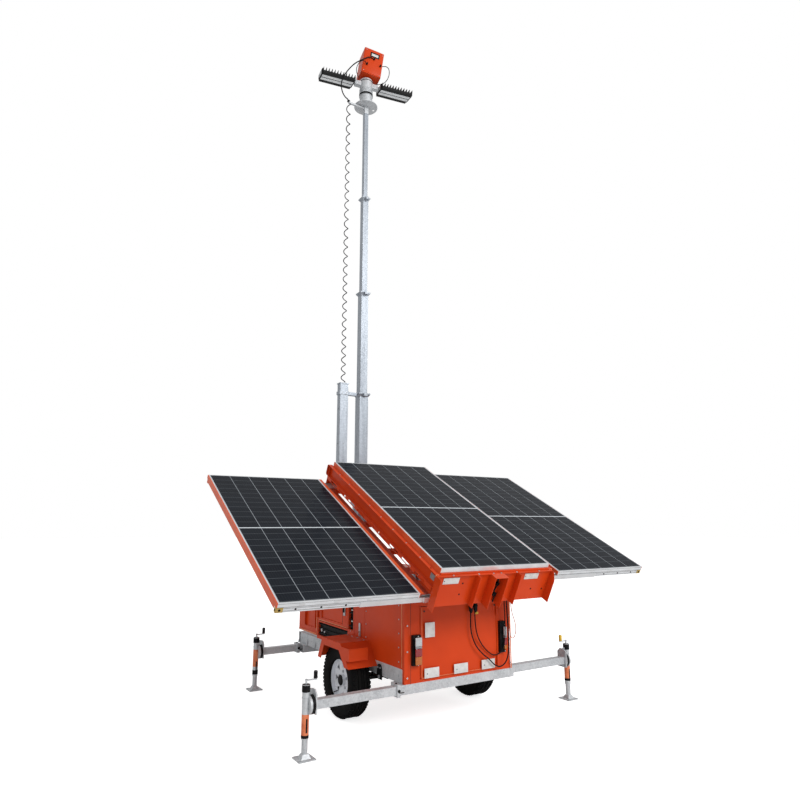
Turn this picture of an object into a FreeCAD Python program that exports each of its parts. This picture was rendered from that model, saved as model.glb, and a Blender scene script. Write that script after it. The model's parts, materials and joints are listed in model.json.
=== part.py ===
"""Mobile solar light tower on a single-axle trailer, parked on its four jacks.

Millimetres. +X is the trailer's right, +Y its front (mast and coupling), +Z up.
The ground is z = 0 and the origin lies under the middle of the whole outline.
"""
import FreeCAD, Part
import math
import os

V = FreeCAD.Vector
AX, AY, AZ = V(1, 0, 0), V(0, 1, 0), V(0, 0, 1)

# Running clearances
SEAT = 0.3
PIN_PLAY = 0.05

# Trailer bed
BED_REAR = -1333.0
BED_LENGTH = 2120.0
BED_WIDTH = 1130.0
RAIL_HEIGHT = 110.0
RAIL_WIDTH = 60.0
RAIL_WALL = 5.0
END_BEAM = 50.0
CROSS_BEAM = 50.0
CROSS_Y = (-1130.0, -760.0, -400.0, -40.0, 320.0, 600.0)

# Drawbar
COUPLING_TIP = 1927.0
DRAWBAR_HEIGHT = 80.0
DRAWBAR_WIDTH = 60.0
DRAWBAR_NOSE = 200.0
COUPLING_LENGTH = 290.0
BALL_RADIUS = 25.5
SOCKET_WALL = 19.5
SOCKET_DEPTH = 45.0
COUPLING_HALF = 30.0

# Wheels, axle and springs
AXLE_Y = -583.0
TYRE_RADIUS = 310.0
TYRE_WIDTH = 185.0
TYRE_SIDE_GAP = 8.0
SHOULDER = 33.0
TRACK = 1394.0
RIM_RADIUS = 176.0
RIM_WIDTH = 126.0
RIM_SHELL = 6.0
RIM_HOLES = 8
RIM_HOLE = dict(inner=96.0, outer=146.0, half_angle=11.0)
HUB_RADIUS = 46.0
HUB_OUT = 55.0
HUB_IN = 70.0
SPINDLE_RADIUS = 20.0
SPINDLE_OUT = 40.0
AXLE_SIZE = 50.0
SPRING_SPAN = 727.0
SPRING_CAMBER = 26.0
SPRING_LEAF = 8.0
SPRING_LEAVES = 4
SPRING_WIDTH = 45.0
SPRING_STEPS = 8
HANGER_PLATE = 8.0
HANGER_HALF = 39.0
HANGER_TOP = 451.0
SPRING_PIN = 10.0
STRAP = 12.0
MUDGUARD_OUT = 845.0
MUDGUARD_PATH = ((-904.0, 467.0), (-743.0, 650.0), (-384.0, 650.0), (-298.0, 474.0))
MUDGUARD_SHEET = 4.0
MUDGUARD_LIP = 60.0
MUDGUARD_EAR = ((-764.0, 626.0), (-908.0, 626.0), (-908.0, 526.0), (-852.0, 526.0))
MUDGUARD_TAB_IN = 663.0

# Cabinet
CABINET_TOP = 1200.0
CABINET_FRONT = 330.0
WALL = 30.0
SHEET_GAP = 5.0
REAR_DOOR = dict(half_width=408.0, low=430.0, high=985.0)
SIDE_DOOR = dict(rear=-343.0, front=305.0, low=690.0, high=1045.0)
DOOR_PANEL = dict(rear=-225.0, front=235.0, low=720.0, high=1015.0, depth=10.0)
VENT = dict(rear=-343.0, front=300.0, low=543.0, high=672.0)
SLOT = dict(rear=-453.0, front=-360.0, low=690.0, high=1045.0)
LOUVRE = 8.0
VENT_LOUVRES = 3
SLOT_LOUVRES = 6
SEAM_Y = (-674.0, -480.0)
SEAM = 4.0
BAY_LOW = 535.0
BAY_RECESS = dict(rear=388.0, front=620.0, low=600.0, high=1165.0, depth=12.0)
BATTERY = dict(rear=-800.0, length=900.0, width=700.0, height=300.0)
TAIL_LAMPS = ((-499.0, -421.0, 538.0, 772.0), (432.0, 490.0, 546.0, 810.0))
TAIL_LAMP_DEPTH = 28.0

# Door hinges
KNUCKLE = 9.0
PIN = 4.0
LEAF_LENGTH = 38.0
LEAF_THICK = 3.0
HINGE_TALL = 45.0
HINGE_SLIT = 0.5
REAR_HINGE_Z = (490.0, 910.0)
SIDE_HINGE_IN = 70.0

# Outriggers and jacks
OUTER_TUBE = 75.0
OUTER_WALL = 5.0
ARM_WALL = 5.0
ARM_HEIGHT = 362.0
OUTER_HALF = 600.0
COLLAR_LENGTH = 35.0
COLLAR_GAP = 5.0
COLLAR_WALL = 10.0
REAR_ARM_Y = (-1295.5, -1220.5)
FRONT_ARM_Y = (705.0, 630.0)
REAR_JACK_X = 1400.0
FRONT_JACK_X = 1073.0
ARM_OVERLAP = 150.0
JACK_TUBE = 27.0
JACK_WALL = 4.0
LEG_RADIUS = 22.5
LEG_WALL = 3.0
JACK_TOP = 505.0
JACK_TUBE_LOW = 135.0
JACK_CAP = 51.0
LEG_TOP_BELOW = 90.0
FOOT_SIZE = 134.0
FOOT_THICK = 8.0
FOOT_COLLAR = 30.0
PIVOT_RADIUS = 66.0
PIVOT_DEPTH = 30.0
ARM_PLATE = dict(thick=10.0, width=110.0, low=-62.0, high=106.0, chamfer=30.0)
CRANK = dict(shaft=7.0, rise=24.0, reach=74.0, bar=7.0, grip=13.0, grip_length=62.0)

# Solar array, first drawn flat, then turned up about its hinge
TILT = 27.2
HINGE_Y = -1273.0
HINGE_Z = 1235.0
HINGE_BACK = 476.4
HINGE_DEPTH = 355.0
HINGE_RADIUS = 10.0
HINGE_EAR = 21.0
HINGE_EAR_THICK = 20.0
HINGE_LUG = 12.0
HINGE_LUG_GAP = 2.0
HINGE_X = 420.0
MODULE_WIDTH = 1134.0
MODULE_LENGTH = 2094.0
MODULE_THICK = 35.0
MODULE_LIP = 11.0
GLASS = 7.0
LEFT_GAP = 133.0
LEFT_DROP = 202.0
RIGHT_GAP = 150.0
RIGHT_DROP = 82.0
SIDE_BAR = dict(thick=4.0, top=1.0, low=59.0)
LEFT_EDGE_STRIP = 30.0
CRADLE_DEPTH = 325.0
CRADLE_BEAM = 40.0
CRADLE_MIDDLES = (0.38, 0.62)
CRADLE_END_IN = 60.0
BEAM_OUT = 565.0
RUNNER_BAR = 26.0
RUNNER_BAR_HEIGHT = 40.0
RUNNER_SKIN = 3.7
RUNNER_SET_IN = 16.0
RUNNER_TOP_GAP = 5.0
WINDOWS = 9
WINDOW_LENGTH = 150.0
WINDOW_HEIGHT = 24.0
FIXED_REACH = 85.0
WEB_OUT = 13.0
FRAME_OUT = 39.0
FLANGE_OUT = 45.0
PLATE = 4.0
WEB_TOP = 46.0
WEB_LOW = 158.0
RIGHT_WEB_LOW = 67.0
WINDOW_LOW = 188.0
TAB_IN = 12.0
CHANNEL_PAST = 50.0
CHANNEL_ROUND = 24.0
SKIRT_THICK = 5.0
SKIRT_TOP = 52.0
SKIRT_DEPTH = 274.0
SKIRT_RETURN = 70.0
SKIRT_LEDGE = 20.0
SKIRT_RIBS = (-215.0, 215.0)
SKIRT_RIB_DEPTH = 60.0
SKIRT_CHANNEL = dict(x0=-78.0, x1=54.0, depth=85.0)

# Tilt cylinders
CYL_OUT = 40.0
CYL_BASE = (-723.0, 1080.0)
CYL_EYE_FLAT_Y = 27.0
CYL_RADIUS = 25.0
CYL_LENGTH = 600.0
CYL_START = 18.0
CYL_BOTTOM = 20.0
EYE_HALF = 18.0
ROD_RADIUS = 12.0
ROD_START = 330.0
PIN_RADIUS = 10.0

# Mast
MAST_Y = 477.0
BASE_TOP = 1903.0
RISE = 1252.0
LAST_RISE = 1192.0
MAST_WALL = 4.0
SECTIONS = (130.0, 110.0, 92.0, 72.0, 52.0)
MAST_RIB = dict(out=4.0, width=12.0, place=25.0)
MAST_FOOT = dict(width=260.0, depth=180.0, thick=10.0)
SHOE_HEIGHT = 60.0
COLLAR_HEIGHT = 40.0
COLLAR_TOP = 12.0
COLLAR_RIM = 20.0
CLAMP = dict(width=44.0, out=26.0, height=32.0)
OVERLAP = 228.0

# Cable post and spiral cable
POST_X = -250.0
POST_WIDTH = 100.0
POST_DEPTH = 75.0
POST_WALL = 3.0
POST_ABOVE = 99.0
POST_LENGTH = 1150.0
POST_LIP = dict(out=6.0, height=12.0)
POST_BAND = 8.0
POST_ARM = dict(half=30.0, top=5.0)
COIL_RADIUS = 30.0
COIL_LOW = 500.0

# Head
HEAD_YAW = -11.0
PLATE_Z = 6955.0
PLATE_THICK = 8.0
PLATE_RADIUS = 150.0
PLATE_HOLE = 14.0
NECK_RADIUS = 82.0
NECK_BAND = dict(out=6.0, height=34.0)
NECK_SPLIT = 7130.0
NECK_TOP = 7330.0
NECK_RIBS = 3
NECK_RIB = dict(out=5.0, height=9.0, pitch=19.0, first=7150.0)
HEAD_ARM = dict(half=12.0, below=20.0, height=20.0)
BOX = dict(width=265.0, depth=250.0, height=370.0, offset=24.0, lean=7.5, foot=24.0, chamfer=8.0)
LAMP_IN = 161.0
LAMP_OUT = 612.0
LAMP_Z = 7270.0
LAMP_HEIGHT = 66.0
LAMP_DEPTH = 118.0
LAMP_PITCH = 146.0
LAMP_TILT = 12.0
LAMP_LENS = 26.0
FINS = 12
FIN_THICK = 4.0
LAMP_END = 12.0
YOKE = 60.0

# small offsets that several shapes share
PAST = 5.0
DISC_SET = 25.0
DISC_THICK = 10.0
HUB_ROOM = 2.0
PIN_SHOW = 2.0
VENT_BACK = 6.0
CAP_OUT = 3.0
CAP_ROOF = 8.0
BORE_PLAY = 1.0
LEVER_HALF = 14.0
# the coupling's lever in side view: offsets along the drawbar from the cup, and above the shank
LEVER_OUTLINE = ((-150.0, 0.0), (20.0, 0.0), (0.0, 16.0), (-190.0, 40.0), (-195.0, 30.0))


def box(x0, x1, y0, y1, z0, z1):
    return Part.makeBox(x1 - x0, y1 - y0, z1 - z0, V(x0, y0, z0))


def block(cx, cy, cz, sx, sy, sz):
    return box(cx - sx / 2, cx + sx / 2, cy - sy / 2, cy + sy / 2, cz - sz / 2, cz + sz / 2)


def cylinder(radius, length, base, axis):
    return Part.makeCylinder(radius, length, V(*base), axis)


def ring(outer, inner, length, base, axis):
    return cylinder(outer, length, base, axis).cut(cylinder(inner, length, base, axis))


def tube_x(x0, x1, cy, cz, sy, sz, wall):
    inner = block((x0 + x1) / 2, cy, cz, x1 - x0, sy - 2 * wall, sz - 2 * wall)
    return block((x0 + x1) / 2, cy, cz, x1 - x0, sy, sz).cut(inner)


def tube_z(z0, z1, cx, cy, sx, sy, wall):
    inner = block(cx, cy, (z0 + z1) / 2, sx - 2 * wall, sy - 2 * wall, z1 - z0)
    return block(cx, cy, (z0 + z1) / 2, sx, sy, z1 - z0).cut(inner)


def fused(shapes):
    whole = shapes[0]
    for shape in shapes[1:]:
        whole = whole.fuse(shape)
    return whole.removeSplitter()


def apart(shapes):
    return Part.makeCompound(shapes)


def turned(shape, centre, axis, degrees):
    copy = shape.copy()
    copy.rotate(centre, axis, degrees)
    return copy


def mirrored(shape):
    return shape.mirror(V(0, 0, 0), AX)


def prism_x(points_yz, x0, x1):
    wire = Part.makePolygon([V(x0, y, z) for y, z in points_yz + points_yz[:1]])
    return Part.Face(wire).extrude(V(x1 - x0, 0, 0))


def prism_z(points_xy, z0, z1):
    wire = Part.makePolygon([V(x, y, z0) for x, y in points_xy + points_xy[:1]])
    return Part.Face(wire).extrude(V(0, 0, z1 - z0))


def bent(path, thick):
    """A bent strip's outline: the path, and the same path one thickness to its right."""
    inner = []
    for i, (y, z) in enumerate(path):
        normals = []
        for a, b in ((i - 1, i), (i, i + 1)):
            if a >= 0 and b < len(path):
                dy, dz = path[b][0] - path[a][0], path[b][1] - path[a][1]
                size = math.hypot(dy, dz)
                normals.append((dz / size, -dy / size))
        ny, nz = normals[0]
        if len(normals) == 2:
            my, mz = normals[1]
            spread = 1 + ny * my + nz * mz
            ny, nz = (ny + my) / spread, (nz + mz) / spread
        inner.append((y + thick * ny, z + thick * nz))
    return list(path) + inner[::-1]


def square(size, cx, cy, z):
    half = size / 2
    corners = [V(cx - half, cy - half, z), V(cx + half, cy - half, z), V(cx + half, cy + half, z), V(cx - half, cy + half, z)]
    return Part.makePolygon(corners + corners[:1])


NODES = {}


def keep(name, shape):
    NODES[name] = shape


BED_FRONT = BED_REAR + BED_LENGTH
RAIL_LOW = ARM_HEIGHT + OUTER_TUBE / 2
BED_TOP = RAIL_LOW + RAIL_HEIGHT
BAY_FLOOR = RAIL_LOW + RAIL_WALL
RAIL_MIDDLE = RAIL_LOW + RAIL_HEIGHT / 2
BED_HALF = BED_WIDTH / 2
FLAT_TOP = HINGE_Z + HINGE_DEPTH
NEAR_EDGE = HINGE_Y - HINGE_BACK
MODULE_HALF = MODULE_WIDTH / 2
ARM_SIZE = OUTER_TUBE - 2 * OUTER_WALL - 2 * SEAT
SPRING_X = BED_HALF - RAIL_WIDTH / 2
CYL_X = BED_HALF + CYL_OUT


def hinge(cx, cy, z, to_door, out):
    """One butt hinge on a face: the fixed half with its pin, and the half on the door."""
    fixed, moving = [], []
    for part, z0, z1, way in ((fixed, z - HINGE_TALL, z - HINGE_SLIT, -1), (moving, z, z + HINGE_TALL, 1)):
        part.append(cylinder(KNUCKLE, z1 - z0, (cx, cy, z0), AZ))
        ends = []
        for along in (0.0, LEAF_LENGTH):
            for deep in (KNUCKLE, KNUCKLE - LEAF_THICK):
                ends.append((cx + way * along * to_door.x - deep * out.x, cy + way * along * to_door.y - deep * out.y))
        xs, ys = [e[0] for e in ends], [e[1] for e in ends]
        part.append(box(min(xs), max(xs), min(ys), max(ys), z0, z1))
    pin = cylinder(PIN, 2 * HINGE_TALL, (cx, cy, z - HINGE_TALL), AZ)
    hole = cylinder(PIN + PIN_PLAY, 2 * HINGE_TALL, (cx, cy, z - HINGE_TALL), AZ)
    return fused(fixed + [pin]), fused(moving).cut(hole)


def chassis():
    rail_rear = BED_REAR + WALL
    rail_front = BED_FRONT - END_BEAM
    web = BED_HALF - RAIL_WALL
    parts = []
    for side in (-1, 1):
        rail = box(BED_HALF - RAIL_WIDTH, BED_HALF, rail_rear, rail_front, RAIL_LOW, BED_TOP)
        rail = rail.cut(box(BED_HALF - RAIL_WIDTH, web, rail_rear, rail_front, RAIL_LOW + RAIL_WALL, BED_TOP - RAIL_WALL))
        parts.append(rail if side > 0 else mirrored(rail))
    for y in CROSS_Y:
        parts.append(tube_x(-web, web, y, RAIL_MIDDLE, CROSS_BEAM, RAIL_HEIGHT - 2 * RAIL_WALL, RAIL_WALL))
    parts.append(tube_x(-BED_HALF, BED_HALF, rail_front + END_BEAM / 2, RAIL_MIDDLE, END_BEAM, RAIL_HEIGHT, RAIL_WALL))
    bay_half = BED_HALF - RAIL_WIDTH
    parts.append(box(-bay_half, bay_half, CABINET_FRONT, rail_front, RAIL_LOW, BAY_FLOOR))
    keep("chassis_frame", fused(parts))
    beams = []
    clamp = OUTER_TUBE + 2 * COLLAR_WALL
    for y, side in ((REAR_ARM_Y[0], -1), (REAR_ARM_Y[1], 1), (FRONT_ARM_Y[0], -1), (FRONT_ARM_Y[1], 1)):
        mouth = side * (OUTER_HALF + COLLAR_LENGTH)
        ends = sorted((-side * OUTER_HALF, mouth))
        beam = tube_x(ends[0], ends[1], y, ARM_HEIGHT, OUTER_TUBE, OUTER_TUBE, OUTER_WALL)
        start = min(mouth, side * (OUTER_HALF + COLLAR_GAP))
        rim = tube_x(start, start + COLLAR_LENGTH - COLLAR_GAP, y, ARM_HEIGHT, clamp, clamp, COLLAR_WALL)
        beams.append(fused([beam, rim]))
    keep("outrigger_tubes", apart(beams))


def drawbar():
    low = RAIL_LOW
    root = BED_HALF - RAIL_WIDTH
    nose = COUPLING_TIP - COUPLING_LENGTH
    legs = []
    for side in (-1, 1):
        corners = [
            (side * root - DRAWBAR_WIDTH / 2, BED_FRONT),
            (side * root + DRAWBAR_WIDTH / 2, BED_FRONT),
            (side * DRAWBAR_WIDTH / 2 + DRAWBAR_WIDTH / 2, nose),
            (side * DRAWBAR_WIDTH / 2 - DRAWBAR_WIDTH / 2, nose),
        ]
        legs.append(prism_z(corners, low, low + DRAWBAR_HEIGHT))
    legs.append(box(-DRAWBAR_WIDTH, DRAWBAR_WIDTH, nose - DRAWBAR_NOSE, nose, low, low + DRAWBAR_HEIGHT))
    keep("drawbar", fused(legs))
    mid = low + DRAWBAR_HEIGHT / 2
    bottom = mid - COUPLING_HALF
    cup_radius = BALL_RADIUS + SOCKET_WALL
    cup_y = COUPLING_TIP - cup_radius
    shank = box(-COUPLING_HALF, COUPLING_HALF, nose, cup_y, bottom, mid + COUPLING_HALF)
    cup = cylinder(cup_radius, 2 * COUPLING_HALF, (0, cup_y, bottom), AZ)
    socket = cylinder(BALL_RADIUS, SOCKET_DEPTH, (0, cup_y, bottom), AZ)
    top = mid + COUPLING_HALF
    lever = prism_x([(cup_y + along, top + above) for along, above in LEVER_OUTLINE], -LEVER_HALF, LEVER_HALF)
    keep("coupling", fused([shank, cup]).cut(socket).fuse(lever))


def axle_and_springs():
    half = TRACK / 2 - TYRE_WIDTH / 2 - TYRE_SIDE_GAP
    tip = TRACK / 2 + SPINDLE_OUT
    parts = [block(0, AXLE_Y, TYRE_RADIUS, 2 * half, AXLE_SIZE, AXLE_SIZE)]
    for side in (-1, 1):
        start = min(side * half, side * tip)
        parts.append(cylinder(SPINDLE_RADIUS, tip - half, (start, AXLE_Y, TYRE_RADIUS), AX))
    keep("axle", fused(parts))
    low = TYRE_RADIUS + AXLE_SIZE / 2
    half_span = SPRING_SPAN / 2
    pieces = []
    for n in range(SPRING_LEAVES):
        reach = half_span * (n + 2) / (SPRING_LEAVES + 1)
        path = []
        for step in range(SPRING_STEPS + 1):
            y = reach * (1 - 2 * step / SPRING_STEPS)
            path.append((AXLE_Y + y, low + SPRING_LEAF * n + SPRING_CAMBER * (y / half_span) ** 2))
        pieces.append(prism_x(bent(path, SPRING_LEAF), SPRING_X - SPRING_WIDTH / 2, SPRING_X + SPRING_WIDTH / 2))
    eye_z = low + SPRING_LEAF * (SPRING_LEAVES - 0.5) + SPRING_CAMBER
    inner = SPRING_X - SPRING_WIDTH / 2 - HANGER_PLATE - 1
    for y in (AXLE_Y - half_span, AXLE_Y + half_span):
        pieces.append(cylinder(SPRING_PIN, BED_HALF + HANGER_PLATE - inner, (inner, y, eye_z), AX))
        pieces.append(box(inner, inner + HANGER_PLATE, y - HANGER_HALF, y + HANGER_HALF, eye_z - 2 * SPRING_PIN, RAIL_LOW))
        plate = box(BED_HALF, BED_HALF + HANGER_PLATE, y - HANGER_HALF, y + HANGER_HALF, eye_z - 2 * SPRING_PIN, HANGER_TOP)
        pieces.append(plate.fuse(cylinder(HANGER_HALF, HANGER_PLATE, (BED_HALF, y, HANGER_TOP), AX)))
    top = low + SPRING_LEAF * SPRING_LEAVES
    for end in (-1, 1):
        y = AXLE_Y + end * (AXLE_SIZE + STRAP) / 2
        pieces.append(box(SPRING_X - SPRING_WIDTH / 2 - STRAP, SPRING_X + SPRING_WIDTH / 2 + STRAP, y - STRAP / 2,
                          y + STRAP / 2, top, top + STRAP))
        for x in (SPRING_X - (SPRING_WIDTH + STRAP) / 2, SPRING_X + (SPRING_WIDTH + STRAP) / 2):
            pieces.append(block(x, y, (top + TYRE_RADIUS - AXLE_SIZE / 2) / 2, STRAP, STRAP,
                                top - TYRE_RADIUS + AXLE_SIZE / 2))
    spring = fused(pieces)
    keep("leaf_springs", apart([spring, mirrored(spring)]))


def wheel(side):
    x = side * TRACK / 2
    half = TYRE_WIDTH / 2
    bead_half = RIM_WIDTH / 2
    section = [(half, RIM_RADIUS), (half, TYRE_RADIUS - SHOULDER), (half - SHOULDER, TYRE_RADIUS)]
    points = [V(-a, 0, r) for a, r in section] + [V(a, 0, r) for a, r in reversed(section)]
    tyre = Part.Face(Part.makePolygon(points + points[:1])).revolve(V(0, 0, 0), AX, 360)
    tyre.translate(V(x, AXLE_Y, TYRE_RADIUS))
    rim_in = RIM_RADIUS - RIM_SHELL
    disc_x = side * DISC_SET
    barrel = ring(RIM_RADIUS, rim_in, RIM_WIDTH, (-bead_half, 0, 0), AX)
    disc = cylinder(rim_in, DISC_THICK, (disc_x - DISC_THICK / 2, 0, 0), AX)
    for n in range(RIM_HOLES):
        corners = []
        for radius, degrees in ((RIM_HOLE["inner"], 0), (RIM_HOLE["outer"], RIM_HOLE["half_angle"]),
                                (RIM_HOLE["outer"], -RIM_HOLE["half_angle"])):
            turn = math.radians(degrees + 360 * n / RIM_HOLES)
            corners.append((radius * math.sin(turn), radius * math.cos(turn)))
        disc = disc.cut(prism_x(corners, disc_x - DISC_THICK, disc_x + DISC_THICK))
    hub = cylinder(HUB_RADIUS, HUB_IN + HUB_OUT, (min(-side * HUB_IN, side * HUB_OUT), 0, 0), AX)
    rim = fused([barrel, disc, hub])
    bore = HUB_IN + SPINDLE_OUT + HUB_ROOM
    bore_low = min(-side * HUB_IN, side * (SPINDLE_OUT + HUB_ROOM))
    rim = rim.cut(cylinder(SPINDLE_RADIUS + PIN_PLAY, bore, (bore_low, 0, 0), AX))
    rim.translate(V(x, AXLE_Y, TYRE_RADIUS))
    word = "left" if side < 0 else "right"
    keep("tyre_" + word, tyre)
    keep("rim_" + word, rim)


def mudguards():
    path = list(MUDGUARD_PATH)
    floor = min(path[0][1], path[-1][1])
    outer = -MUDGUARD_OUT + MUDGUARD_SHEET
    shell = prism_x(bent(path, MUDGUARD_SHEET), -MUDGUARD_OUT, -BED_HALF)
    flange = prism_x(bent(path, MUDGUARD_LIP), -MUDGUARD_OUT, outer)
    flange = flange.cut(box(-MUDGUARD_OUT - 1, outer + 1, path[0][0] - 200, path[-1][0] + 200, floor - 200, floor))
    ear = prism_x(list(MUDGUARD_EAR), -MUDGUARD_OUT, outer)
    rear, top = MUDGUARD_EAR[1]
    low = MUDGUARD_EAR[2][1]
    tab = box(-MUDGUARD_OUT, -MUDGUARD_TAB_IN, rear, rear + MUDGUARD_SHEET, low, top)
    left = fused([shell, flange, ear, tab])
    keep("mudguards", apart([left, mirrored(left)]))


def louvred(hole, count):
    back = -BED_HALF + WALL - VENT_BACK
    pieces = [box(back, -BED_HALF + WALL, hole["rear"], hole["front"], hole["low"], hole["high"])]
    for n in range(count):
        z = hole["low"] + (hole["high"] - hole["low"]) * (n + 0.5) / count
        pieces.append(box(-BED_HALF + LOUVRE, back, hole["rear"], hole["front"], z - LOUVRE / 2, z + LOUVRE / 2))
    return fused(pieces)


def opening(hole, slack, depth):
    return box(-BED_HALF - PAST, -BED_HALF + depth, hole["rear"] - slack, hole["front"] + slack,
               hole["low"] - slack, hole["high"] + slack)


def cabinet():
    half = BED_HALF
    gap = SHEET_GAP
    back = BED_REAR + WALL
    high = CABINET_TOP - WALL
    floor_top = BED_TOP + WALL
    keep("cabinet_floor", box(-half + WALL, half - WALL, back + gap, CABINET_FRONT, BED_TOP, floor_top))
    rear = box(-half, half, BED_REAR, back, RAIL_LOW, high)
    rear = rear.cut(box(-REAR_DOOR["half_width"] - gap, REAR_DOOR["half_width"] + gap, BED_REAR - PAST, back + PAST,
                        REAR_DOOR["low"] - gap, REAR_DOOR["high"] + gap))
    rear_hinges = [hinge(REAR_DOOR["half_width"] + gap / 2, BED_REAR - KNUCKLE, z, -AX, -AY) for z in REAR_HINGE_Z]
    keep("cabinet_rear_wall", fused([rear] + [pair[0] for pair in rear_hinges]))
    rear_door = box(-REAR_DOOR["half_width"], REAR_DOOR["half_width"], BED_REAR, back, REAR_DOOR["low"], REAR_DOOR["high"])
    keep("rear_door", fused([rear_door] + [pair[1] for pair in rear_hinges]))
    keep("cabinet_front_wall", box(-half + WALL, half - WALL, CABINET_FRONT - WALL, CABINET_FRONT, floor_top, high))
    keep("cabinet_roof", box(-half, half, BED_REAR, CABINET_FRONT, high, CABINET_TOP))
    for side, word in ((-1, "left"), (1, "right")):
        wall = box(-half, -half + WALL, back, CABINET_FRONT, BED_TOP, high)
        bay = box(-half, -half + WALL, CABINET_FRONT, BED_FRONT, BAY_LOW, CABINET_TOP)
        shape = fused([wall, bay])
        for hole, slack, depth in ((SIDE_DOOR, gap, WALL + PAST), (VENT, 0.0, WALL + PAST), (SLOT, 0.0, WALL + PAST),
                                   (BAY_RECESS, 0.0, BAY_RECESS["depth"])):
            shape = shape.cut(opening(hole, slack, depth))
        for y in SEAM_Y:
            shape = shape.cut(box(-half - 1, -half + SEAM, y - SEAM / 2, y + SEAM / 2, BED_TOP - 1, high + 1))
        vents = [louvred(VENT, VENT_LOUVRES), louvred(SLOT, SLOT_LOUVRES)]
        door = box(-half, -half + WALL, SIDE_DOOR["rear"], SIDE_DOOR["front"], SIDE_DOOR["low"], SIDE_DOOR["high"])
        door = door.cut(opening(DOOR_PANEL, 0.0, DOOR_PANEL["depth"]))
        hinges = [hinge(-half - KNUCKLE, SIDE_DOOR["front"] + gap / 2, z, -AY, -AX)
                  for z in (SIDE_DOOR["low"] + SIDE_HINGE_IN, SIDE_DOOR["high"] - SIDE_HINGE_IN)]
        by, bz = CYL_BASE
        pin_end = CYL_X + EYE_HALF + PIN_SHOW
        pin = cylinder(PIN_RADIUS, pin_end - half + WALL / 2, (-pin_end, by, bz), AX)
        shape = fused([shape, pin] + [pair[0] for pair in hinges])
        door = fused([door] + [pair[1] for pair in hinges])
        if side > 0:
            shape = mirrored(shape)
            vents = [mirrored(v) for v in vents]
            door = mirrored(door)
        keep("cabinet_%s_wall" % word, shape)
        keep("%s_vents" % word, apart(vents))
        keep("%s_door" % word, door)
    keep("battery_block", box(-BATTERY["width"] / 2, BATTERY["width"] / 2, BATTERY["rear"],
                              BATTERY["rear"] + BATTERY["length"], floor_top, floor_top + BATTERY["height"]))
    lamps = [box(x0, x1, BED_REAR - TAIL_LAMP_DEPTH, BED_REAR, z0, z1) for x0, x1, z0, z1 in TAIL_LAMPS]
    keep("tail_lamps", apart(lamps))


def outrigger(name, side, y, jack_x):
    inner_end = OUTER_HALF - ARM_OVERLAP - (REAR_JACK_X - jack_x)
    plate_out = jack_x - JACK_TUBE - PIVOT_DEPTH
    tip = plate_out - ARM_PLATE["thick"]
    arm = tube_x(inner_end, tip, y, ARM_HEIGHT, ARM_SIZE, ARM_SIZE, ARM_WALL)
    half = ARM_PLATE["width"] / 2
    low, high = ARM_HEIGHT + ARM_PLATE["low"], ARM_HEIGHT + ARM_PLATE["high"]
    corners = [(y - half, low), (y + half, low), (y + half, high - ARM_PLATE["chamfer"]),
               (y + half - ARM_PLATE["chamfer"], high), (y - half + ARM_PLATE["chamfer"], high),
               (y - half, high - ARM_PLATE["chamfer"])]
    arm = fused([arm, prism_x(corners, tip, plate_out)])
    drum = cylinder(PIVOT_RADIUS, PIVOT_DEPTH + JACK_TUBE / 2, (plate_out + SEAT, y, ARM_HEIGHT), AX)
    drum = drum.cut(cylinder(JACK_TUBE - BORE_PLAY, 4 * PIVOT_RADIUS, (jack_x, y, ARM_HEIGHT - 2 * PIVOT_RADIUS), AZ))
    inside = JACK_TUBE - JACK_WALL
    body = ring(JACK_TUBE, inside, JACK_TOP - JACK_CAP - JACK_TUBE_LOW, (jack_x, y, JACK_TUBE_LOW), AZ)
    cap = cylinder(JACK_TUBE + CAP_OUT, JACK_CAP, (jack_x, y, JACK_TOP - JACK_CAP), AZ)
    cap = cap.cut(cylinder(inside, JACK_CAP - CAP_ROOF, (jack_x, y, JACK_TOP - JACK_CAP), AZ))
    shaft = cylinder(CRANK["shaft"], CRANK["rise"], (jack_x, y, JACK_TOP), AZ)
    bar_low = JACK_TOP + CRANK["rise"]
    crank = box(jack_x - CRANK["reach"], jack_x + CRANK["bar"], y - CRANK["bar"], y + CRANK["bar"],
                bar_low, bar_low + CRANK["bar"])
    grip = cylinder(CRANK["grip"], CRANK["grip_length"], (jack_x - CRANK["reach"], y, bar_low), AZ)
    jack = fused([body, cap, drum, shaft, crank, grip])
    leg_top = JACK_TOP - LEG_TOP_BELOW
    leg = ring(LEG_RADIUS, LEG_RADIUS - LEG_WALL, leg_top - FOOT_THICK, (jack_x, y, FOOT_THICK), AZ)
    foot = block(jack_x, y, FOOT_THICK / 2, FOOT_SIZE, FOOT_SIZE, FOOT_THICK)
    socket = square(2 * LEG_RADIUS + FOOT_COLLAR, jack_x, y, FOOT_THICK)
    neck = square(2 * LEG_RADIUS, jack_x, y, FOOT_THICK + FOOT_COLLAR)
    leg = fused([leg, foot, Part.makeLoft([socket, neck], True)])
    if side < 0:
        arm, jack, leg = mirrored(arm), mirrored(jack), mirrored(leg)
    keep("outrigger_" + name, arm)
    keep("jack_" + name, jack)
    keep("leg_" + name, leg)


def module(x0, drop):
    top = FLAT_TOP - drop
    x1 = x0 + MODULE_WIDTH
    near, far = NEAR_EDGE, NEAR_EDGE + MODULE_LENGTH
    frame = box(x0, x1, near, far, top - MODULE_THICK, top)
    hollow = box(x0 + MODULE_LIP, x1 - MODULE_LIP, near + MODULE_LIP, far - MODULE_LIP, top - MODULE_THICK, top - GLASS)
    bar = SIDE_BAR["thick"]
    bars = [box(a, a + bar, near, far, top - SIDE_BAR["low"], top - SIDE_BAR["top"]) for a in (x0 - bar, x1)]
    return fused([frame.cut(hollow)] + bars)


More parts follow.
